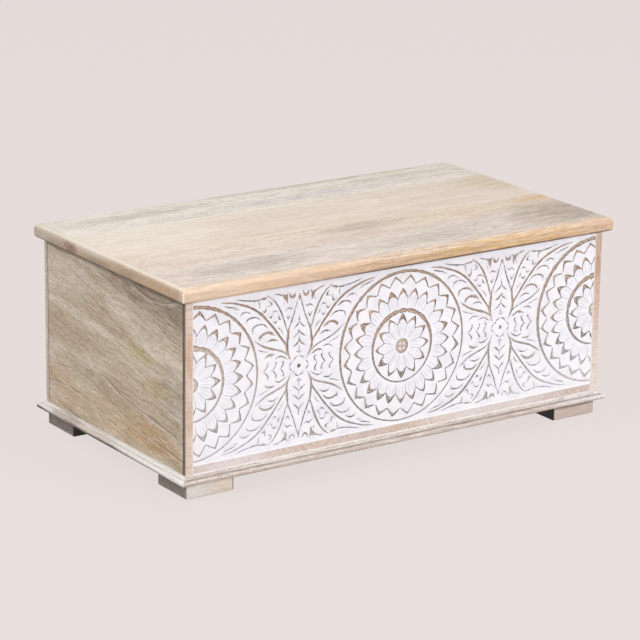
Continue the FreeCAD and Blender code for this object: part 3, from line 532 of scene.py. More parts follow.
def press(cuts, chips, bosses, places):
    """The depth and the stain that the carving gives at places on the face."""
    depth, stain = np.zeros(len(places)), np.zeros(len(places))
    for rows in cuts:
        inside = near_box(places, rows[:, :2], rows[:, 2:4].max() + SHOULDER)
        if not len(inside):
            continue
        start, end = rows[None, :-1], rows[None, 1:]
        run = end[..., :2] - start[..., :2]
        away = places[inside][:, None] - start[..., :2]
        t = np.clip((away * run).sum(2) / np.maximum((run ** 2).sum(2), TINY), 0, 1)
        here = start + t[..., None] * (end - start)
        off = places[inside][:, None] - here[..., :2]
        on_left = run[..., 0] * off[..., 1] - run[..., 1] * off[..., 0] > 0
        half = np.where(on_left, here[..., 2], here[..., 3])
        far = np.hypot(off[..., 0], off[..., 1])
        fall = np.clip(1 - far / half, 0, 1)
        slope = SHOULDER_DEPTH * (here[..., 5] > 0) * np.clip(1 - far / (half + SHOULDER), 0, 1) ** 2
        depth[inside] = np.maximum(depth[inside], np.maximum(here[..., 4] * fall, slope).max(1))
        stain[inside] = np.maximum(stain[inside], (here[..., 5] * np.sqrt(fall)).max(1))
    for chip in chips:
        inside = near_box(places, np.vstack(list(chip.lines())), 0)
        chip_depth, chip_stain = chip.section(places[inside])
        depth[inside] = np.maximum(depth[inside], chip_depth)
        stain[inside] = np.maximum(stain[inside], chip_stain)
    for middle in bosses:
        far = np.hypot(*((places - middle) / MANDALA_SHARES).T)
        lumps = [np.hypot(*(places - spot).T) for spot in spokes(middle, LUMP_OUT, LUMP_ANGLES)]
        pale = np.exp(-(np.min(lumps, axis=0) / LUMP_RADIUS) ** 2)
        on_boss = far < BOSS_RADIUS
        depth = np.where(on_boss, np.maximum(depth, BOSS_SINK * (far / BOSS_RADIUS) ** 2), depth)
        stain = np.where(on_boss, BARE_STAIN + (PAINT_STAIN - BARE_STAIN) * pale, stain)
    return depth, stain


def crisp_lines(cuts, chips, bosses):
    """The lines that the face is cut along: over chips, round bosses and on each cut's edges and bottom."""
    lines = [line for chip in chips for line in chip.lines()]
    lines += [circle(middle, radius)[0] for middle in bosses for radius in BOSS_LINES]
    for rows in cuts:
        along = np.gradient(rows[:, :2], axis=0)
        along /= np.maximum(np.hypot(along[:, 0], along[:, 1]), TINY)[:, None]
        across = np.column_stack((-along[:, 1], along[:, 0]))
        lines += [rows[:, :2] + across * rows[:, 2:3], rows[:, :2], rows[:, :2] - across * rows[:, 3:4]]
    return lines


def face_places(lines, left, right, bottom, top):
    """Places on the lines, round the border and on the ground between them, and the edges along the lines."""
    places, edges = [], []
    for line in lines:
        before = None
        for u, v in line:
            inside = left < u < right and bottom < v < top
            if inside:
                places.append(Vector((u, v)))
                if before is not None:
                    edges.append((before, len(places) - 1))
            before = len(places) - 1 if inside else None
    near = kdtree.KDTree(len(places))
    for n, place in enumerate(places):
        near.insert(place.to_3d(), n)
    near.balance()
    for u in np.linspace(left, right, round((right - left) / BORDER_STEP) + 1):
        places += [Vector((u, bottom)), Vector((u, top))]
    for v in np.linspace(bottom, top, round((top - bottom) / BORDER_STEP) + 1)[1:-1]:
        places += [Vector((left, v)), Vector((right, v))]
    row_step = GROUND_STEP * math.sqrt(3) / 2
    for row in range(1, int((top - bottom) / row_step)):
        for column in range(1, int((right - left) / GROUND_STEP)):
            place = Vector((left + (column + row % 2 / 2) * GROUND_STEP, bottom + row * row_step))
            if near.find(place.to_3d())[2] > CLEAR_OF_CUTS and place.x < right - CLEAR_OF_CUTS:
                places.append(place)
    return places, edges


def carved_front():
    """The carved panel. Its face is cut along each stroke's edges and bottom, so that the cuts stay crisp."""
    low, high = (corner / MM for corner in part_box("carved_panel"))
    hand = random.Random(SEED)
    bosses = [(middle, 0.0) for middle in (-MANDALA_STEP, 0.0, MANDALA_STEP)]
    chips = [chip for middle, full_share in zip(bosses, FULL_CHIP_SHARES)
             for chip in mandala_chips(middle, full_share, hand)]
    cuts = [rows for middle, width_share in zip(bosses, RING_WIDTH_SHARES)
            for rows in mandala_cuts(middle, width_share, hand)]
    cuts += [rows for middle in (-CELL, CELL) for rows in flower_cuts(middle, hand)]
    places, edges = face_places(crisp_lines(cuts, chips, bosses), low.x, high.x,
                                low.z - MANDALA_HEIGHT, high.z - MANDALA_HEIGHT)
    flat, _, faces, _, _, _ = delaunay_2d_cdt(places, edges, [], 0, MERGE_REACH)
    spots = np.array([tuple(place) for place in flat])
    depth, brown = press(cuts, chips, bosses, spots)
    u, v = spots.T
    wave = np.sin(u / GROUND_RUN + 2 * np.sin(v / GROUND_BEND)) * np.sin(v / GROUND_RISE)
    depth = np.maximum(depth, GROUND_WAVE * (0.5 + 0.5 * wave))

    work = bmesh.new()
    stain = work.verts.layers.float.new("stain")
    # Each point's share of the deepest cut, which the paint turns into painted shade.
    hollow = work.verts.layers.float.new("hollow")
    for (u, v), cut_depth, cut_brown in zip(spots, depth, brown):
        vert = work.verts.new((u * MM, (low.y + cut_depth) * MM, (v + MANDALA_HEIGHT) * MM))
        vert[stain] = cut_brown
        vert[hollow] = cut_depth / DEEPEST
    work.verts.ensure_lookup_table()
    for face in faces:
        work.faces.new([work.verts[n] for n in face])
    rim = [edge for edge in work.edges if edge.is_boundary]
    walls = bmesh.ops.extrude_edge_only(work, edges=rim)["geom"]
    for vert in (item for item in walls if isinstance(item, bmesh.types.BMVert)):
        vert.co.y = high.y * MM
        vert[stain] = 0.0
    bmesh.ops.edgeloop_fill(work, edges=[item for item in walls if isinstance(item, bmesh.types.BMEdge)
                                         and item.is_boundary])
    bmesh.ops.recalc_face_normals(work, faces=work.faces)
    return finished("carved_front", work, CARVED_SHARP_ANGLE)


# Pieces

# Points nearer than this are one and faces that turn less than the flat angle are one. Outer edges over the
# corner angle are eased in steps, and edges over the sharp angle stay sharp.
SAME_PLACE = 0.01 * MM
FLAT_ANGLE = 0.5
CORNER_ANGLE = 60
SHARP_ANGLE = 30
EASED_STEPS = 2


def linked(name, data):
    """An object of some data, put in the scene."""
    item = bpy.data.objects.new(name, data)
    bpy.context.scene.collection.objects.link(item)
    return item


def finished(name, work, sharp_angle):
    """A mesh object from a bmesh, smooth on its curves and sharp at its corners."""
    mesh = bpy.data.meshes.new(name)
    work.to_mesh(mesh)
    work.free()
    mesh.shade_smooth()
    mesh.set_sharp_from_angle(angle=math.radians(sharp_angle))
    return linked(name, mesh)


def settle(piece, modifier):
    """Make a piece's modified mesh its own."""
    solid = bpy.data.meshes.new_from_object(piece.evaluated_get(bpy.context.evaluated_depsgraph_get()))
    piece.modifiers.remove(modifier)
    piece.data = solid


def dress(piece, material, slot, *nodes):
    """Give a piece its finish and let it stand for CAD nodes, on their body."""
    piece.data.materials.clear()
    piece.data.materials.append(material)
    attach(piece, frame["nodes"][nodes[0]]["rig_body"])
    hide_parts(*nodes)


def eased(node, radius):
    """A copy of a CAD node with its outer corners rounded, as by a plane, and its flats shaded flat."""
    work = bmesh.new()
    work.from_mesh(frame["nodes"][node].data)
    bmesh.ops.remove_doubles(work, verts=work.verts, dist=SAME_PLACE)
    bmesh.ops.dissolve_limit(work, angle_limit=math.radians(FLAT_ANGLE), verts=work.verts, edges=work.edges)
    low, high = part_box(node)

    def outer(edge):
        a, b = (vert.co for vert in edge.verts)
        shared = [axis for axis in range(3) if abs(a[axis] - b[axis]) < SAME_PLACE
                  and min(a[axis] - low[axis], high[axis] - a[axis]) < SAME_PLACE]
        return len(shared) == 2 and edge.calc_face_angle(0.0) > math.radians(CORNER_ANGLE)

    corners = [edge for edge in work.edges if outer(edge)]
    if corners:
        bmesh.ops.bevel(work, geom=corners, offset=radius, segments=EASED_STEPS, profile=0.5, affect="EDGES",
                        clamp_overlap=True)
    piece = finished(node + "_eased", work, SHARP_ANGLE)
    even = piece.modifiers.new("even", "WEIGHTED_NORMAL")
    even.keep_sharp = True
    settle(piece, even)
    return piece


# Screws

SCREW_SIDES = 20
SLOT_LENGTH_SHARE = 3
SLOT_WIDTH_SHARE = 0.24
SLOT_DEPTH_SHARE = 0.55
SCREW_INPUTS = {
    "Places": "Geometry", "Head Radius": "Float", "Head Height": "Float", "Shank Radius": "Float",
    "Shank Length": "Float", "Slot Size": "Vector", "Seed": "Int", "Finish": "Material",
}


def screw_tree():
    """Nodes that set a slotted, countersunk screw at each point, along its axis and at a random turn."""
    tree = bpy.data.node_groups.new("countersunk_screws", "GeometryNodeTree")
    for name, kind in SCREW_INPUTS.items():
        tree.interface.new_socket(name, in_out="INPUT", socket_type="NodeSocket" + kind)
    tree.interface.new_socket("Screws", in_out="OUTPUT", socket_type="NodeSocketGeometry")
    given = add(tree, "NodeGroupInput").outputs
    cone = add(tree, "GeometryNodeMeshCone", {
        "Vertices": SCREW_SIDES, "Radius Top": given["Shank Radius"], "Radius Bottom": given["Head Radius"],
        "Depth": given["Head Height"]})
    slot = add(tree, "GeometryNodeMeshCube", {"Size": given["Slot Size"]})
    head = add(tree, "GeometryNodeMeshBoolean", {"Mesh 1": cone, "Mesh 2": slot},
               operation="DIFFERENCE", solver="EXACT")
    rod = add(tree, "GeometryNodeMeshCylinder", {
        "Vertices": SCREW_SIDES, "Radius": given["Shank Radius"], "Depth": given["Shank Length"]})
    middle = add(tree, "ShaderNodeMath", {
        0: given["Shank Length"], 1: 0.5, 2: given["Head Height"]}, operation="MULTIPLY_ADD")
    below = add(tree, "ShaderNodeCombineXYZ", {"Z": middle})
    shank = add(tree, "GeometryNodeTransform", {"Geometry": rod, "Translation": below})
    screw = add(tree, "GeometryNodeJoinGeometry", {"Geometry": head})
    tree.links.new(shank.outputs["Geometry"], screw.inputs["Geometry"])
    axis = add(tree, "GeometryNodeInputNamedAttribute", {"Name": "axis"}, data_type="FLOAT_VECTOR")
    along = add(tree, "FunctionNodeAlignRotationToVector", {"Vector": axis}, axis="Z")
    angle = add(tree, "FunctionNodeRandomValue", {"Min": 0.0, "Max": math.pi, "Seed": given["Seed"]},
                data_type="FLOAT")
    twist = add(tree, "FunctionNodeAxisAngleToRotation", {"Axis": (0.0, 0.0, 1.0), "Angle": angle})
    turned = add(tree, "FunctionNodeRotateRotation", {"Rotation": along, "Rotate By": twist},
                 rotation_space="LOCAL")
    copies = add(tree, "GeometryNodeInstanceOnPoints", {
        "Points": given["Places"], "Instance": screw, "Rotation": turned})
    whole = add(tree, "GeometryNodeRealizeInstances", {"Geometry": copies})
    dressed = add(tree, "GeometryNodeSetMaterial", {"Geometry": whole, "Material": given["Finish"]})
    add(tree, "NodeGroupOutput", {"Screws": dressed})
    return tree


def screw_islands(node):
    """The points of each separate screw in a CAD node."""
    work = bmesh.new()
    work.from_mesh(frame["nodes"][node].data)
    bmesh.ops.remove_doubles(work, verts=work.verts, dist=SAME_PLACE)
    loose = set(work.verts)
    while loose:
        todo = [loose.pop()]
        points = []
        while todo:
            vert = todo.pop()
            points.append(tuple(vert.co))
            joined = {edge.other_vert(vert) for edge in vert.link_edges} & loose
            loose -= joined
            todo += joined
        yield np.array(points)
    work.free()


def set_screws(node, tree, material, slot):
    """Slotted screws in place of a CAD node's plain ones, with the same heads, shanks and axes."""
    places = []
    for points in screw_islands(node):
        low, high = points.min(0), points.max(0)
        long_axis = int(np.argmax(high - low))
        off = points - (low + high) / 2
        far = np.hypot(*np.delete(off, long_axis, 1).T)
        head_side = np.sign(off[np.argmax(far), long_axis])
        at_tip = off[:, long_axis] * head_side < 0
        length = float((high - low)[long_axis])
        axis = np.zeros(3)
        axis[long_axis] = -head_side
        places.append((tuple((low + high) / 2 - axis * length / 2), tuple(axis)))
        head_radius, shank_radius = float(far.max()), float(far[at_tip].max())
    places.sort()
    mesh = bpy.data.meshes.new(node + "_places")
    mesh.from_pydata([head for head, _ in places], [], [])
    axes = mesh.attributes.new("axis", "FLOAT_VECTOR", "POINT")
    for row, (_, axis) in zip(axes.data, places):
        row.vector = axis
    piece = linked(node + "_slotted", mesh)
    modifier = piece.modifiers.new("screws", "NODES")
    modifier.node_group = tree
    sockets = {item.name: item.identifier for item in tree.interface.items_tree if item.in_out == "INPUT"}
    head_height = head_radius - shank_radius
    sizes = {
        "Head Radius": head_radius,
        "Head Height": head_height,
        "Shank Radius": shank_radius,
        "Shank Length": length - head_height,
        "Slot Size": (SLOT_LENGTH_SHARE * head_radius, SLOT_WIDTH_SHARE * head_radius,
                      2 * SLOT_DEPTH_SHARE * head_height),
        "Seed": SEED,
        "Finish": material,
    }
    for name, size in sizes.items():
        modifier[sockets[name]] = size
    settle(piece, modifier)
    piece.data.shade_smooth()
    piece.data.set_sharp_from_angle(angle=math.radians(SHARP_ANGLE))
    dress(piece, material, slot, node)


# Finishes

EVERYWHERE = 3000
SIDES = (-1, 1)
WHITE_SLOP = "#F4F2F4"
# Painted shade in the joints where the sides meet the front and the back.
JOINT_PAINTED_SHADE = "#5E4B3D"
# Painted shade on the feet's inner faces.
FOOT_SHADE = "#0E0B09"
QUIRK_HEIGHT = 37.4
MOULDING_TOP = 43.4
MOULDING_FOOT = 27.4
FOOT_MIDDLE = 14
LID_WASH_SHARE = 0.3
# Faces that carry marks: the axis across a face, its place on that axis and how deep its marks go, in
# millimetres.
FACES = {
    "lid": (2, 369, 40),
    "end": (0, -453, 14),
    "side": (0, -437, 60),
    "front": (1, -238, 20),
}


def on(face, *marks):
    """Marks on a face of the trunk, from their middles and their reach along the face."""
    axis, level, depth = FACES[face]
    placed = []
    for code, first, second, length, height, strength, ragged_share in marks:
        centre, reach = [first, second], [length, height]
        centre.insert(axis, level)
        reach.insert(axis, depth)
        placed.append((code, centre, reach, strength, ragged_share))
    return placed


def all_round(code, z, height, strength, ragged_share):
    """A line all round the trunk."""
    return code, (0, 0, z), (EVERYWHERE, EVERYWHERE, height), strength, ragged_share


WEATHERED_END = on("lid", ("#948371", 410, -165, 150, 95, 0.75, 0.9))
KNOT = [("#7A4F30", (-452, 122, 354), (16, 30, 12), 0.85, 1.0)]
END_GRAIN = [("#BDA384", (-453, 0, 352), (13, EVERYWHERE, 60), 0.95, 0.4)] + on(
    "end",
    ("#D9CDBD", 215, 356, 80, 30, 0.75, 1.0),
    ("#CFAC84", -190, 354, 120, 30, 0.7, 0.4),
    ("#8F7B60", 30, 350, 55, 12, 0.6, 1.0),
    ("#97846B", 175, 349, 36, 10, 0.6, 1.0),
    ("#A0865F", -70, 352, 40, 10, 0.5, 1.0),
    ("#E8DDCC", 60, 363, 110, 10, 0.6, 1.0))
# Painted shade along the lower rounding of the lid's end, and a painted highlight along its top rim.
END_PAINTED_SHADE_AND_HIGHLIGHT = [
    ("#6A5544", (-450, 0, 342), (40, EVERYWHERE, 6), 0.9, 0.1),
    ("#F1EADD", (-448.5, 0, 368.5), (7, EVERYWHERE, 5), 0.7, 0.8),
]
LIP = [
    ("#DDBB98", (0, -258, 361), (EVERYWHERE, 26, 40), 0.95, 0.2),
    ("#D8AA64", (215, -252, 354), (240, 22, 16), 0.8, 0.8),
    ("#EAD3B8", (-390, -252, 356), (100, 24, 30), 0.7, 0.3),
    ("#C59B74", (-90, -252, 352), (220, 20, 14), 0.55, 0.6),
    ("#DDB795", (425, -252, 356), (70, 24, 30), 0.75, 0.4),
]
# A painted shadow under the lip, a paler tone on its left and a painted highlight on the near corner.
LIP_PAINTED_LIGHT_AND_TONE = [
    ("#2C1F18", (120, -250, 342.4), (700, 30, 6.2), 0.95, 0.2),
    ("#E6C9AC", (-310, -254, 356), (260, 24, 30), 0.5, 0.2),
    ("#FBF5EF", (-450, -250, 357), (2.8, 2.8, 60), 0.8, 0.1),
]
# Boards of the lid from the front: name, tones, shift of the pattern, shares of figure, streaks and specks,
# stains, and wear with painted shade and painted highlights.
LID_BOARDS = (
    ("front", ("#DED1C7", "#D3C5BA", "#9E9082"), 0.31, 0.55, 0.5, 0.15, WEATHERED_END + on(
        "lid",
        ("#A9A097", -265, -182, 150, 44, 0.6, 0.8),
        ("#B3A69A", 85, -188, 170, 36, 0.5, 0.8)) + END_GRAIN + LIP, END_PAINTED_SHADE_AND_HIGHLIGHT + LIP_PAINTED_LIGHT_AND_TONE),
    ("second", ("#E0D0C3", "#D6C5B7", "#A89683"), 1.13, 0.45, 0.5, 0.15, WEATHERED_END + on(
        "lid",
        ("#DCCBA8", 230, -75, 170, 50, 0.5, 0.5),
        ("#D9AC72", 415, -66, 75, 22, 0.7, 0.5),
        ("#A4978B", 35, -66, 120, 28, 0.6, 0.8),
        ("#CFA878", -60, -41, 260, 5, 0.6, 0.6)) + END_GRAIN, END_PAINTED_SHADE_AND_HIGHLIGHT),
    ("third", ("#DDCFC1", "#D5C8B9", "#B6A691"), 2.47, 0.35, 0.3, 0.12, on(
        "lid",
        ("#E9E0D4", -330, 60, 190, 110, 0.5, 0.4),
        ("#C2B193", 430, 75, 100, 80, 0.6, 0.8),
        ("#F2EBE0", -140, 129, 340, 7, 0.7, 0.4),
        ("#EEE5D8", -200, -38, 260, 6, 0.6, 0.4)) + END_GRAIN + KNOT, END_PAINTED_SHADE_AND_HIGHLIGHT),
    ("back", ("#E4DCD2", "#DAD1C6", "#9F9587"), 3.71, 0.55, 0.5, 0.15, on(
        "lid",
        ("#B3ABA2", -260, 200, 190, 24, 0.6, 1.0),
        ("#D0C9CA", 100, 163, 240, 20, 0.8, 0.5),
        ("#AB9F88", 140, 244, 340, 24, 0.65, 0.7),
        ("#B0A691", 300, 205, 170, 14, 0.4, 0.8),
        ("#EBE3D7", -60, 188, 160, 16, 0.5, 0.4)) + END_GRAIN + KNOT, END_PAINTED_SHADE_AND_HIGHLIGHT),
)
lid_woods = [
    mango_wood("limewashed_mango_lid_" + name, ALONG_X, tones, shift, figure_share=figure_share,
               streak_share=streak_share, wash_share=LID_WASH_SHARE, speck_share=speck_share,
               stains_and_painted_light=stains_and_painted_light, wear_and_painted_light=wear_and_painted_light)
    for name, tones, shift, figure_share, streak_share, speck_share, stains_and_painted_light, wear_and_painted_light in LID_BOARDS]
side_wood = mango_wood(
    "limewashed_mango_side", NEAR_Y, ("#E6DAC5", "#C5B294", "#6A5844"), 4.2, run_share=0.85,
    figure_share=0.8, streak_share=0.3, wash_share=0.32, speck_share=0.24,
    stains_and_painted_light=on(
        "side",
        ("#E0D6C6", 165, 298, 110, 55, 0.6, 1.0),
        # A painted shadow of the lid over the front top of the side.
        ("#8C7864", -240, 345, 330, 90, 0.8, 0.4),
        ("#968672", -200, 165, 70, 60, 0.4, 0.7),
        ("#BDAE62", -80, 212, 60, 18, 0.5, 0.7),
        ("#BAA462", -140, 168, 60, 20, 0.45, 0.7),
        ("#C69858", -125, 76, 110, 34, 0.65, 0.7),
        ("#D2B68A", 10, 76, 170, 42, 0.6, 0.7),
        ("#D9B993", 180, 84, 90, 54, 0.55, 0.7)),
    wear_and_painted_light=on(
        "side",
        # Painted shade under the lid.
        ("#5F5043", 0, 346, EVERYWHERE, 14, 0.7, 0.3),
        # Painted shade in the joints at the side's back and front edges.
        (JOINT_PAINTED_SHADE, 229.5, 190, 6.5, EVERYWHERE, 0.85, 0.4),
        (JOINT_PAINTED_SHADE, -229, 190, 2.6, EVERYWHERE, 0.85, 0.3)))
rail_wood = mango_wood(
    "sawn_mango_rail", ASLANT, ("#D9C9C2", "#CDBBB2", "#AA8F82"), 5.3, figure_share=0.1,
    streak_share=0.06, wash_share=0.3, speck_share=0.3, saw_share=0.35,
    stains_and_painted_light=on(
        "front",
        ("#DAC1A5", 45, 50, 110, 30, 0.5, 0.8),
        ("#DCC5B4", -200, 50, 120, 30, 0.6, 0.8)),
    wear_and_painted_light=on(
        "front",
        (WHITE_SLOP, 190, 52, 180, 14, 0.45, 1.0),
        (WHITE_SLOP, -350, 52, 90, 14, 0.45, 1.0),
        (WHITE_SLOP, 0, 59.5, EVERYWHERE, 2.8, 0.95, 0.2),
        (WHITE_SLOP, 0, 43, EVERYWHERE, 2.4, 0.8, 0.8)))
stile_wood = mango_wood(
    "sawn_mango_stile", ALONG_Z, ("#EAD8CB", "#E0C9B9", "#B48F77"), 6.1, figure_share=0.0,
    streak_share=0.06, wash_share=0.3, speck_share=0.25, saw_share=0.28,
    stains_and_painted_light=on(
        "front",
        ("#E9DCCD", -430, 330, 14, 30, 0.6, 0.5),
        ("#BE8D67", -430, 250, 12, 60, 0.5, 0.9),
        ("#BB8E6B", -430, 140, 12, 40, 0.3, 0.9),
        ("#A87C59", 430, 296, 12, 60, 0.7, 0.9),
        ("#BD9470", 430, 205, 12, 110, 0.5, 0.9),
        (WHITE_SLOP, 430, 70, 16, 150, 0.4, 1.0)),
    wear_and_painted_light=on("front", *((WHITE_SLOP, side * 421.5, 190, 2.4, EVERYWHERE, 0.9, 0.3) for side in SIDES))
    # Painted shade on the stiles' outer corners, at the joints with the sides.
    + [(JOINT_PAINTED_SHADE, (side * 438, -230, 190), (3, 8, EVERYWHERE), 0.95, 0.2) for side in SIDES])
back_wood = mango_wood(
    "limewashed_mango_back", ALONG_X, ("#DFD2C2", "#D5C6B4", "#9F8D79"), 13.4, figure_share=0.5)
# A painted highlight along the moulding's top edge.
MOULDING_TOP_HIGHLIGHT = all_round("#F6F2EF", MOULDING_TOP, 2.6, 0.9, 0.3)
moulding_wood = mango_wood(
    "limewashed_mango_moulding", ALONG_X, ("#DED3CC", "#D1C4BC", "#96867A"), 7.4, figure_share=0.15,
    stains_and_painted_light=(all_round("#BDAA9A", 32, 4, 0.5, 1.0), MOULDING_TOP_HIGHLIGHT,
            ("#EFEDEC", (430, -250, 38), (110, 60, 20), 0.7, 0.6)),
    # Painted shade in the quirk and along the moulding's lower edge.
    wear_and_painted_light=(all_round("#6F6056", QUIRK_HEIGHT, 1.0, 0.6, 0.6),
          all_round("#7F7064", MOULDING_FOOT, 2.4, 0.8, 0.2)))
# The moulding's ends: a paler copy of the front moulding's wood, partly a heavier limewash and partly painted
# light where the cove faces up.
moulding_side_wood = mango_wood(
    "limewashed_mango_moulding_side", ALONG_Y, ("#FFFDFB", "#FBF6F2", "#ADA299"), 8.4, figure_share=0.1,
    streak_share=0.22,
    stains_and_painted_light=(MOULDING_TOP_HIGHLIGHT,
            ("#A3917F", (-450, 150, 38), (60, 70, 8), 0.7, 1.0),
            ("#C9BBAE", (-450, 40, 36), (60, 90, 8), 0.6, 1.0)),
    # Painted shade in the quirk and under the moulding, darkest at its back end.
    wear_and_painted_light=(all_round("#9A8F87", QUIRK_HEIGHT, 0.8, 0.4, 0.8),
          ("#4F4136", (-450, 70, MOULDING_FOOT), (60, 340, 9), 0.95, 0.4),
          ("#211A15", (-450, 252, MOULDING_FOOT), (60, 70, 9), 0.9, 0.1)))
foot_wood = mango_wood(
    "limewashed_mango_feet", ALONG_X, ("#FBF3EC", "#F4E8DE", "#BCA592"), 9.2, figure_share=0.15,
    streak_share=0.25, wash_share=0.12, speck_share=0.15,
    stains_and_painted_light=(("#D2BEB3", (400, -245, FOOT_MIDDLE), (110, 40, 80), 0.9, 0.3),
            ("#F1EDEA", (-425, -248, FOOT_MIDDLE), (70, 40, 80), 0.9, 0.3),
            ("#EDDCC6", (-360, -248, 18), (46, 40, 60), 0.7, 0.5)),
    # A painted shadow of the moulding on the front right foot; the end faces darker, partly end grain and
    # partly painted shade; painted shade on the inner faces.
    wear_and_painted_light=[("#4A352A", (395, -248, 28), (150, 40, 11), 0.9, 0.2)]
    + [("#6F6056", (side * 437, 0, FOOT_MIDDLE), (4, EVERYWHERE, 60), 0.9, 0.3) for side in SIDES]
    + [(FOOT_SHADE, (side * 340, 0, FOOT_MIDDLE), (5, EVERYWHERE, 60), 0.98, 0.0) for side in SIDES]
    + [(FOOT_SHADE, (0, end * 142, FOOT_MIDDLE), (EVERYWHERE, 5, 60), 0.98, 0.0) for end in SIDES])
INNER_TONES = ("#D3B694", "#C7A682", "#93704F")
inner_wood = mango_wood("sanded_mango_inside", ALONG_X, INNER_TONES, 10.6, wash_share=0.1)
upright_wood = mango_wood("sanded_mango_posts", ALONG_Z, INNER_TONES, 11.6, wash_share=0.1)
cross_wood = mango_wood("sanded_mango_battens", ALONG_Y, INNER_TONES, 12.6, wash_share=0.1)


PAINT = "#F8F8FD"
PAINT_ROUGHNESS = 0.72
PAINT_RELIEF = 0.2 * MM
PAINT_BUMP_SHARE = 0.25
# Noises in the paint, in millimetres: blotches of the brush, grit that breaks the edges and a slow drift from
# brown to grey.
BLOTCH_SIZE, GRIT_SIZE, DRIFT_SIZE = 24, 3, 60
# The way from brown cuts to grey ones runs down and leans to the right.
GREY_WAY = (-0.1, 0.0, 1.0)
# What a value adds at its low and at its high level. Low places, by the height in metres, turn grey, grit
# takes from a stain or adds to it, and blotches fill it with paint.
PAINT_LEVELS = {
    "grey": (0.28, 0.12, -0.4, 0.5),
    "grit": (0.36, 0.64, -0.75, 0.45),
    "fill": (0.5, 0.68, 0.0, -0.3),
}
# Where the paint lies thick in the cuts: low on the left and in the lower right corner.
THICK_PAINT = (
    (PAINT, (-400, -237, 130), (200, 60, 190), 0.3, 0.5),
    (PAINT, (350, -237, 70), (180, 60, 80), 0.35, 0.5),
)


def carved_paint():
    """White paint brushed over carved mango wood and rubbed back: chalky faces, with bare brown wood in the
    cuts of the upper half and a greyer wash in those of the lower half, darkest at the bottom of a cut.
    Painted shade darkens the edges of the cuts and tints the paint blue-grey where the cuts and their
    shoulders deepen."""
    material, tree = new_tree("whitewashed_carved_mango")
    place = add(tree, "ShaderNodeTexCoord").outputs["Object"]
    stain, hollow = (add(tree, "ShaderNodeAttribute", attribute_name=name).outputs["Fac"]
                     for name in ("stain", "hollow"))
    blotch, grit, drift = (
        add(tree, "ShaderNodeTexNoise", {"Vector": place, "Scale": 1 / (size * MM), "Detail": 3.0})
        for size in (BLOTCH_SIZE, GRIT_SIZE, DRIFT_SIZE))
    height = add(tree, "ShaderNodeVectorMath", {0: place, 1: GREY_WAY}, operation="DOT_PRODUCT")
    added = {}
    for name, value in (("grey", height), ("grit", grit), ("fill", blotch)):
        low, high, at_low, at_high = PAINT_LEVELS[name]
        added[name] = add(tree, "ShaderNodeMapRange", {
            "Value": value, "From Min": low, "From Max": high, "To Min": at_low, "To Max": at_high})
    grey = add(tree, "ShaderNodeMath", {0: drift, 1: added["grey"]}, operation="ADD")
    worn = add(tree, "ShaderNodeMath", {0: added["grit"], 1: added["fill"]}, operation="ADD")
    held = add(tree, "ShaderNodeMath", {0: stain, 1: DARK_STAIN}, operation="MINIMUM")
    edge = add(tree, "ShaderNodeMath", {0: worn, 1: held, 2: stain}, operation="MULTIPLY_ADD")
    rubbed = lay(tree, colour("#C4A688"), (
        (grey, 0.5, 0.8, 0.75, "#C0B9B5"),
        (grit, 0.5, 0.7, 0.5, "#E6DCD4"),
        (blotch, 0.5, 0.66, 0.6, "#DCCBBB")))
    # The cuts' colour: bare wood with dark edges that are partly painted shade, rubbed to a paler tan in wide
    # cuts.
    bare_wood_and_shade = lay(tree, colour("#725C4B"), (
        (grey, 0.4, 0.7, 1.0, "#716B68"),
        (edge, 1.2, 1.8, 0.9, rubbed)))
    # The hollow coat is painted shade: the paint greys and cools with the depth of the cut.
    tone = lay(tree, colour(PAINT), (
        (blotch, 0.42, 0.7, 0.6, "#E4E4EC"),
        (hollow, 0.07, 0.4, 0.7, "#C6C9D4"),
        (edge, 0.1, 0.5, 0.95, bare_wood_and_shade),
        (edge, 3.3, 4.2, 0.85, PAINT)))
    tone = mark(tree, tone, THICK_PAINT, place, grit)
    bump = add(tree, "ShaderNodeBump", {
        "Height": grit, "Strength": PAINT_BUMP_SHARE, "Distance": PAINT_RELIEF})
    shader = add(tree, "ShaderNodeBsdfPrincipled", {
        "Base Color": tone, "Roughness": PAINT_ROUGHNESS, "Normal": bump})
    add(tree, "ShaderNodeOutputMaterial", {"Surface": shader})
    return material


TARNISH_SIZE = 9 * MM


def metal(name, clean, dull, rough_low, rough_high):
    """Pressed or plated metal, tarnished in soft patches that are duller than the rest."""
    material, tree = new_tree(name)
    place = add(tree, "ShaderNodeTexCoord").outputs["Object"]
    patch = add(tree, "ShaderNodeTexNoise", {"Vector": place, "Scale": 1 / TARNISH_SIZE, "Detail": 5.0})
    tone = lay(tree, colour(clean), ((patch, 0.35, 0.7, 1.0, dull),))
    rough = add(tree, "ShaderNodeMapRange", {
        "Value": patch, "From Min": NOISE_LOW, "From Max": NOISE_HIGH, "To Min": rough_low,
        "To Max": rough_high})
    shader = add(tree, "ShaderNodeBsdfPrincipled", {"Base Color": tone, "Roughness": rough, "Metallic": 1.0})
    add(tree, "ShaderNodeOutputMaterial", {"Surface": shader})
    return material


brass = metal("tarnished_pressed_brass", "#C9A765", "#8F7340", 0.3, 0.5)
steel = metal("zinc_plated_steel", "#C2C5C8", "#9A9EA2", 0.3, 0.45)


# Dressing

CORNERS = ("front_left", "front_right", "back_left", "back_right")
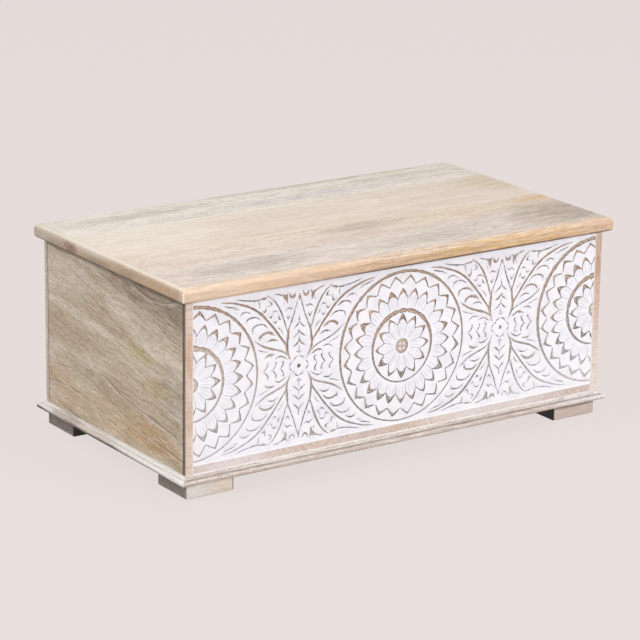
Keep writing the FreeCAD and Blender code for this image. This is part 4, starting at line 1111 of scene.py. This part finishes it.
# Wooden pieces: radius in millimetres to which their corners are eased, wood, slot and nodes.
WOODEN_PIECES = (
    *((0.5, wood, "lid_wood", (f"lid_board_{n}",)) for n, wood in enumerate(lid_woods, 1)),
    (0.8, side_wood, "whitewashed_wood", ("side_panel_left", "side_panel_right")),
    (0.7, stile_wood, "whitewashed_wood", ("front_stile_left", "front_stile_right")),
    (0.7, rail_wood, "whitewashed_wood", ("front_bottom_rail",)),
    (0.8, back_wood, "whitewashed_wood", ("back_panel",)),
    (0.4, moulding_wood, "moulding_wood", ("base_moulding_front", "base_moulding_back")),
    (0.4, moulding_side_wood, "moulding_wood", ("base_moulding_left", "base_moulding_right")),
    *(row for corner in CORNERS for row in (
        (1.0, foot_wood, "moulding_wood", ("foot_" + corner,)),
        (0.8, upright_wood, "inner_wood", ("corner_post_" + corner,)))),
    (0.8, inner_wood, "inner_wood", ("floor_panel", "floor_cleat_front", "floor_cleat_back")),
    (0.8, cross_wood, "inner_wood", ("floor_cleat_left", "floor_cleat_right")),
    (0.8, cross_wood, "inner_wood", ("lid_batten_left", "lid_batten_right")),
)

dress(carved_front(), carved_paint(), "carved_wood", "carved_panel")
for radius, wood, slot, nodes in WOODEN_PIECES:
    for node in nodes:
        dress(eased(node, radius * MM), wood, slot, node)
countersunk = screw_tree()
for node in ("back_panel_screws", "foot_screws", "lid_batten_screws"):
    set_screws(node, countersunk, steel, "steel")
for node in ("hinge_body_screws", "hinge_lid_screws", "stay_bracket_screws"):
    set_screws(node, countersunk, brass, "brass")
for node, part in frame["nodes"].items():
    if node.startswith(("hinge_", "stay_")) and not node.endswith("screws"):
        part.data.materials.clear()
        part.data.materials.append(brass)


# Floor, light and camera

BACKGROUND = colour("#EAE1DF")
FLOOR_PAPER = colour("#C4BBB9")
FLOOR_REACH = 60.0
FLOOR_GLOW_SHARE = 0.9
PAPER_ROUGHNESS = 0.9
AMBIENT = 0.45
# Soft boxes: place, width and power. They face a spot in the trunk.
SOFT_BOXES = {
    "overhead": ((-0.5, -0.3, 3.2), 2.4, 36),
    "front": ((1.4, -4.0, 1.7), 1.6, 86),
    "left": ((-3.0, -0.8, 3.0), 2.0, 50),
}
LIT_SPOT = (0, 0, 0.2)
CAMERA_PLACE = (-2.815, -4.107, 1.680)
CAMERA_TURN, CAMERA_FALL, CAMERA_ROLL = -34.329, 16.722, 0.782
CAMERA_LENS, CAMERA_SENSOR = 163.61, 36.0


def seen_share(tree, most):
    """One for rays that show the surroundings, straight on, in metal or in glass, times the most."""
    path = add(tree, "ShaderNodeLightPath").outputs
    seen = path["Is Camera Ray"]
    for ray in ("Is Glossy Ray", "Is Transmission Ray"):
        seen = add(tree, "ShaderNodeMath", {0: seen, 1: path[ray]}, operation="MAXIMUM")
    return add(tree, "ShaderNodeMath", {0: seen, 1: most}, operation="MULTIPLY")


def floor():
    """A plain pale floor of matt paper that keeps a soft shadow."""
    mesh = bpy.data.meshes.new("floor")
    corners = [(x * FLOOR_REACH, y * FLOOR_REACH, 0) for x, y in ((-1, -1), (1, -1), (1, 1), (-1, 1))]
    mesh.from_pydata(corners, [], [(0, 1, 2, 3)])
    material, tree = new_tree("pale_paper_floor")
    paper = add(tree, "ShaderNodeBsdfPrincipled", {"Base Color": FLOOR_PAPER, "Roughness": PAPER_ROUGHNESS})
    glow = add(tree, "ShaderNodeEmission", {"Color": BACKGROUND})
    both = add(tree, "ShaderNodeMixShader", {0: seen_share(tree, FLOOR_GLOW_SHARE), 1: paper, 2: glow})
    add(tree, "ShaderNodeOutputMaterial", {"Surface": both})
    mesh.materials.append(material)
    ground = linked("floor", mesh)


def soft_box(name, place, size, power):
    """A square studio light that faces the trunk."""
    lamp = bpy.data.lights.new(name, "AREA")
    lamp.size = size
    lamp.energy = power
    light = linked(name, lamp)
    light.location = place
    light.rotation_euler = (Vector(LIT_SPOT) - Vector(place)).to_track_quat("-Z", "Y").to_euler()


def studio():
    """Even surroundings, soft light from above, the front right and high on the left, and the camera."""
    scene = bpy.context.scene
    scene.world = bpy.data.worlds.new("studio")
    scene.world.use_nodes = True
    tree = scene.world.node_tree
    tree.nodes.clear()
    light = add(tree, "ShaderNodeBackground", {"Color": (1.0, 1.0, 1.0, 1.0), "Strength": AMBIENT})
    backdrop = add(tree, "ShaderNodeBackground", {"Color": BACKGROUND})
    both = add(tree, "ShaderNodeMixShader", {0: seen_share(tree, 1.0), 1: light, 2: backdrop})
    add(tree, "ShaderNodeOutputWorld", {"Surface": both})
    for name, (place, width, power) in SOFT_BOXES.items():
        soft_box(name, place, width, power)
    camera = linked("camera", bpy.data.cameras.new("camera"))
    camera.data.lens = CAMERA_LENS
    camera.data.sensor_width = CAMERA_SENSOR
    camera.data.clip_end = 4 * FLOOR_REACH
    camera.matrix_world = (Matrix.Translation(CAMERA_PLACE)
                           @ Matrix.Rotation(math.radians(CAMERA_TURN), 4, "Z")
                           @ Matrix.Rotation(math.radians(90 - CAMERA_FALL), 4, "X")
                           @ Matrix.Rotation(math.radians(CAMERA_ROLL), 4, "Z"))
    scene.camera = camera
    scene.view_settings.view_transform = "Standard"


floor()
studio()
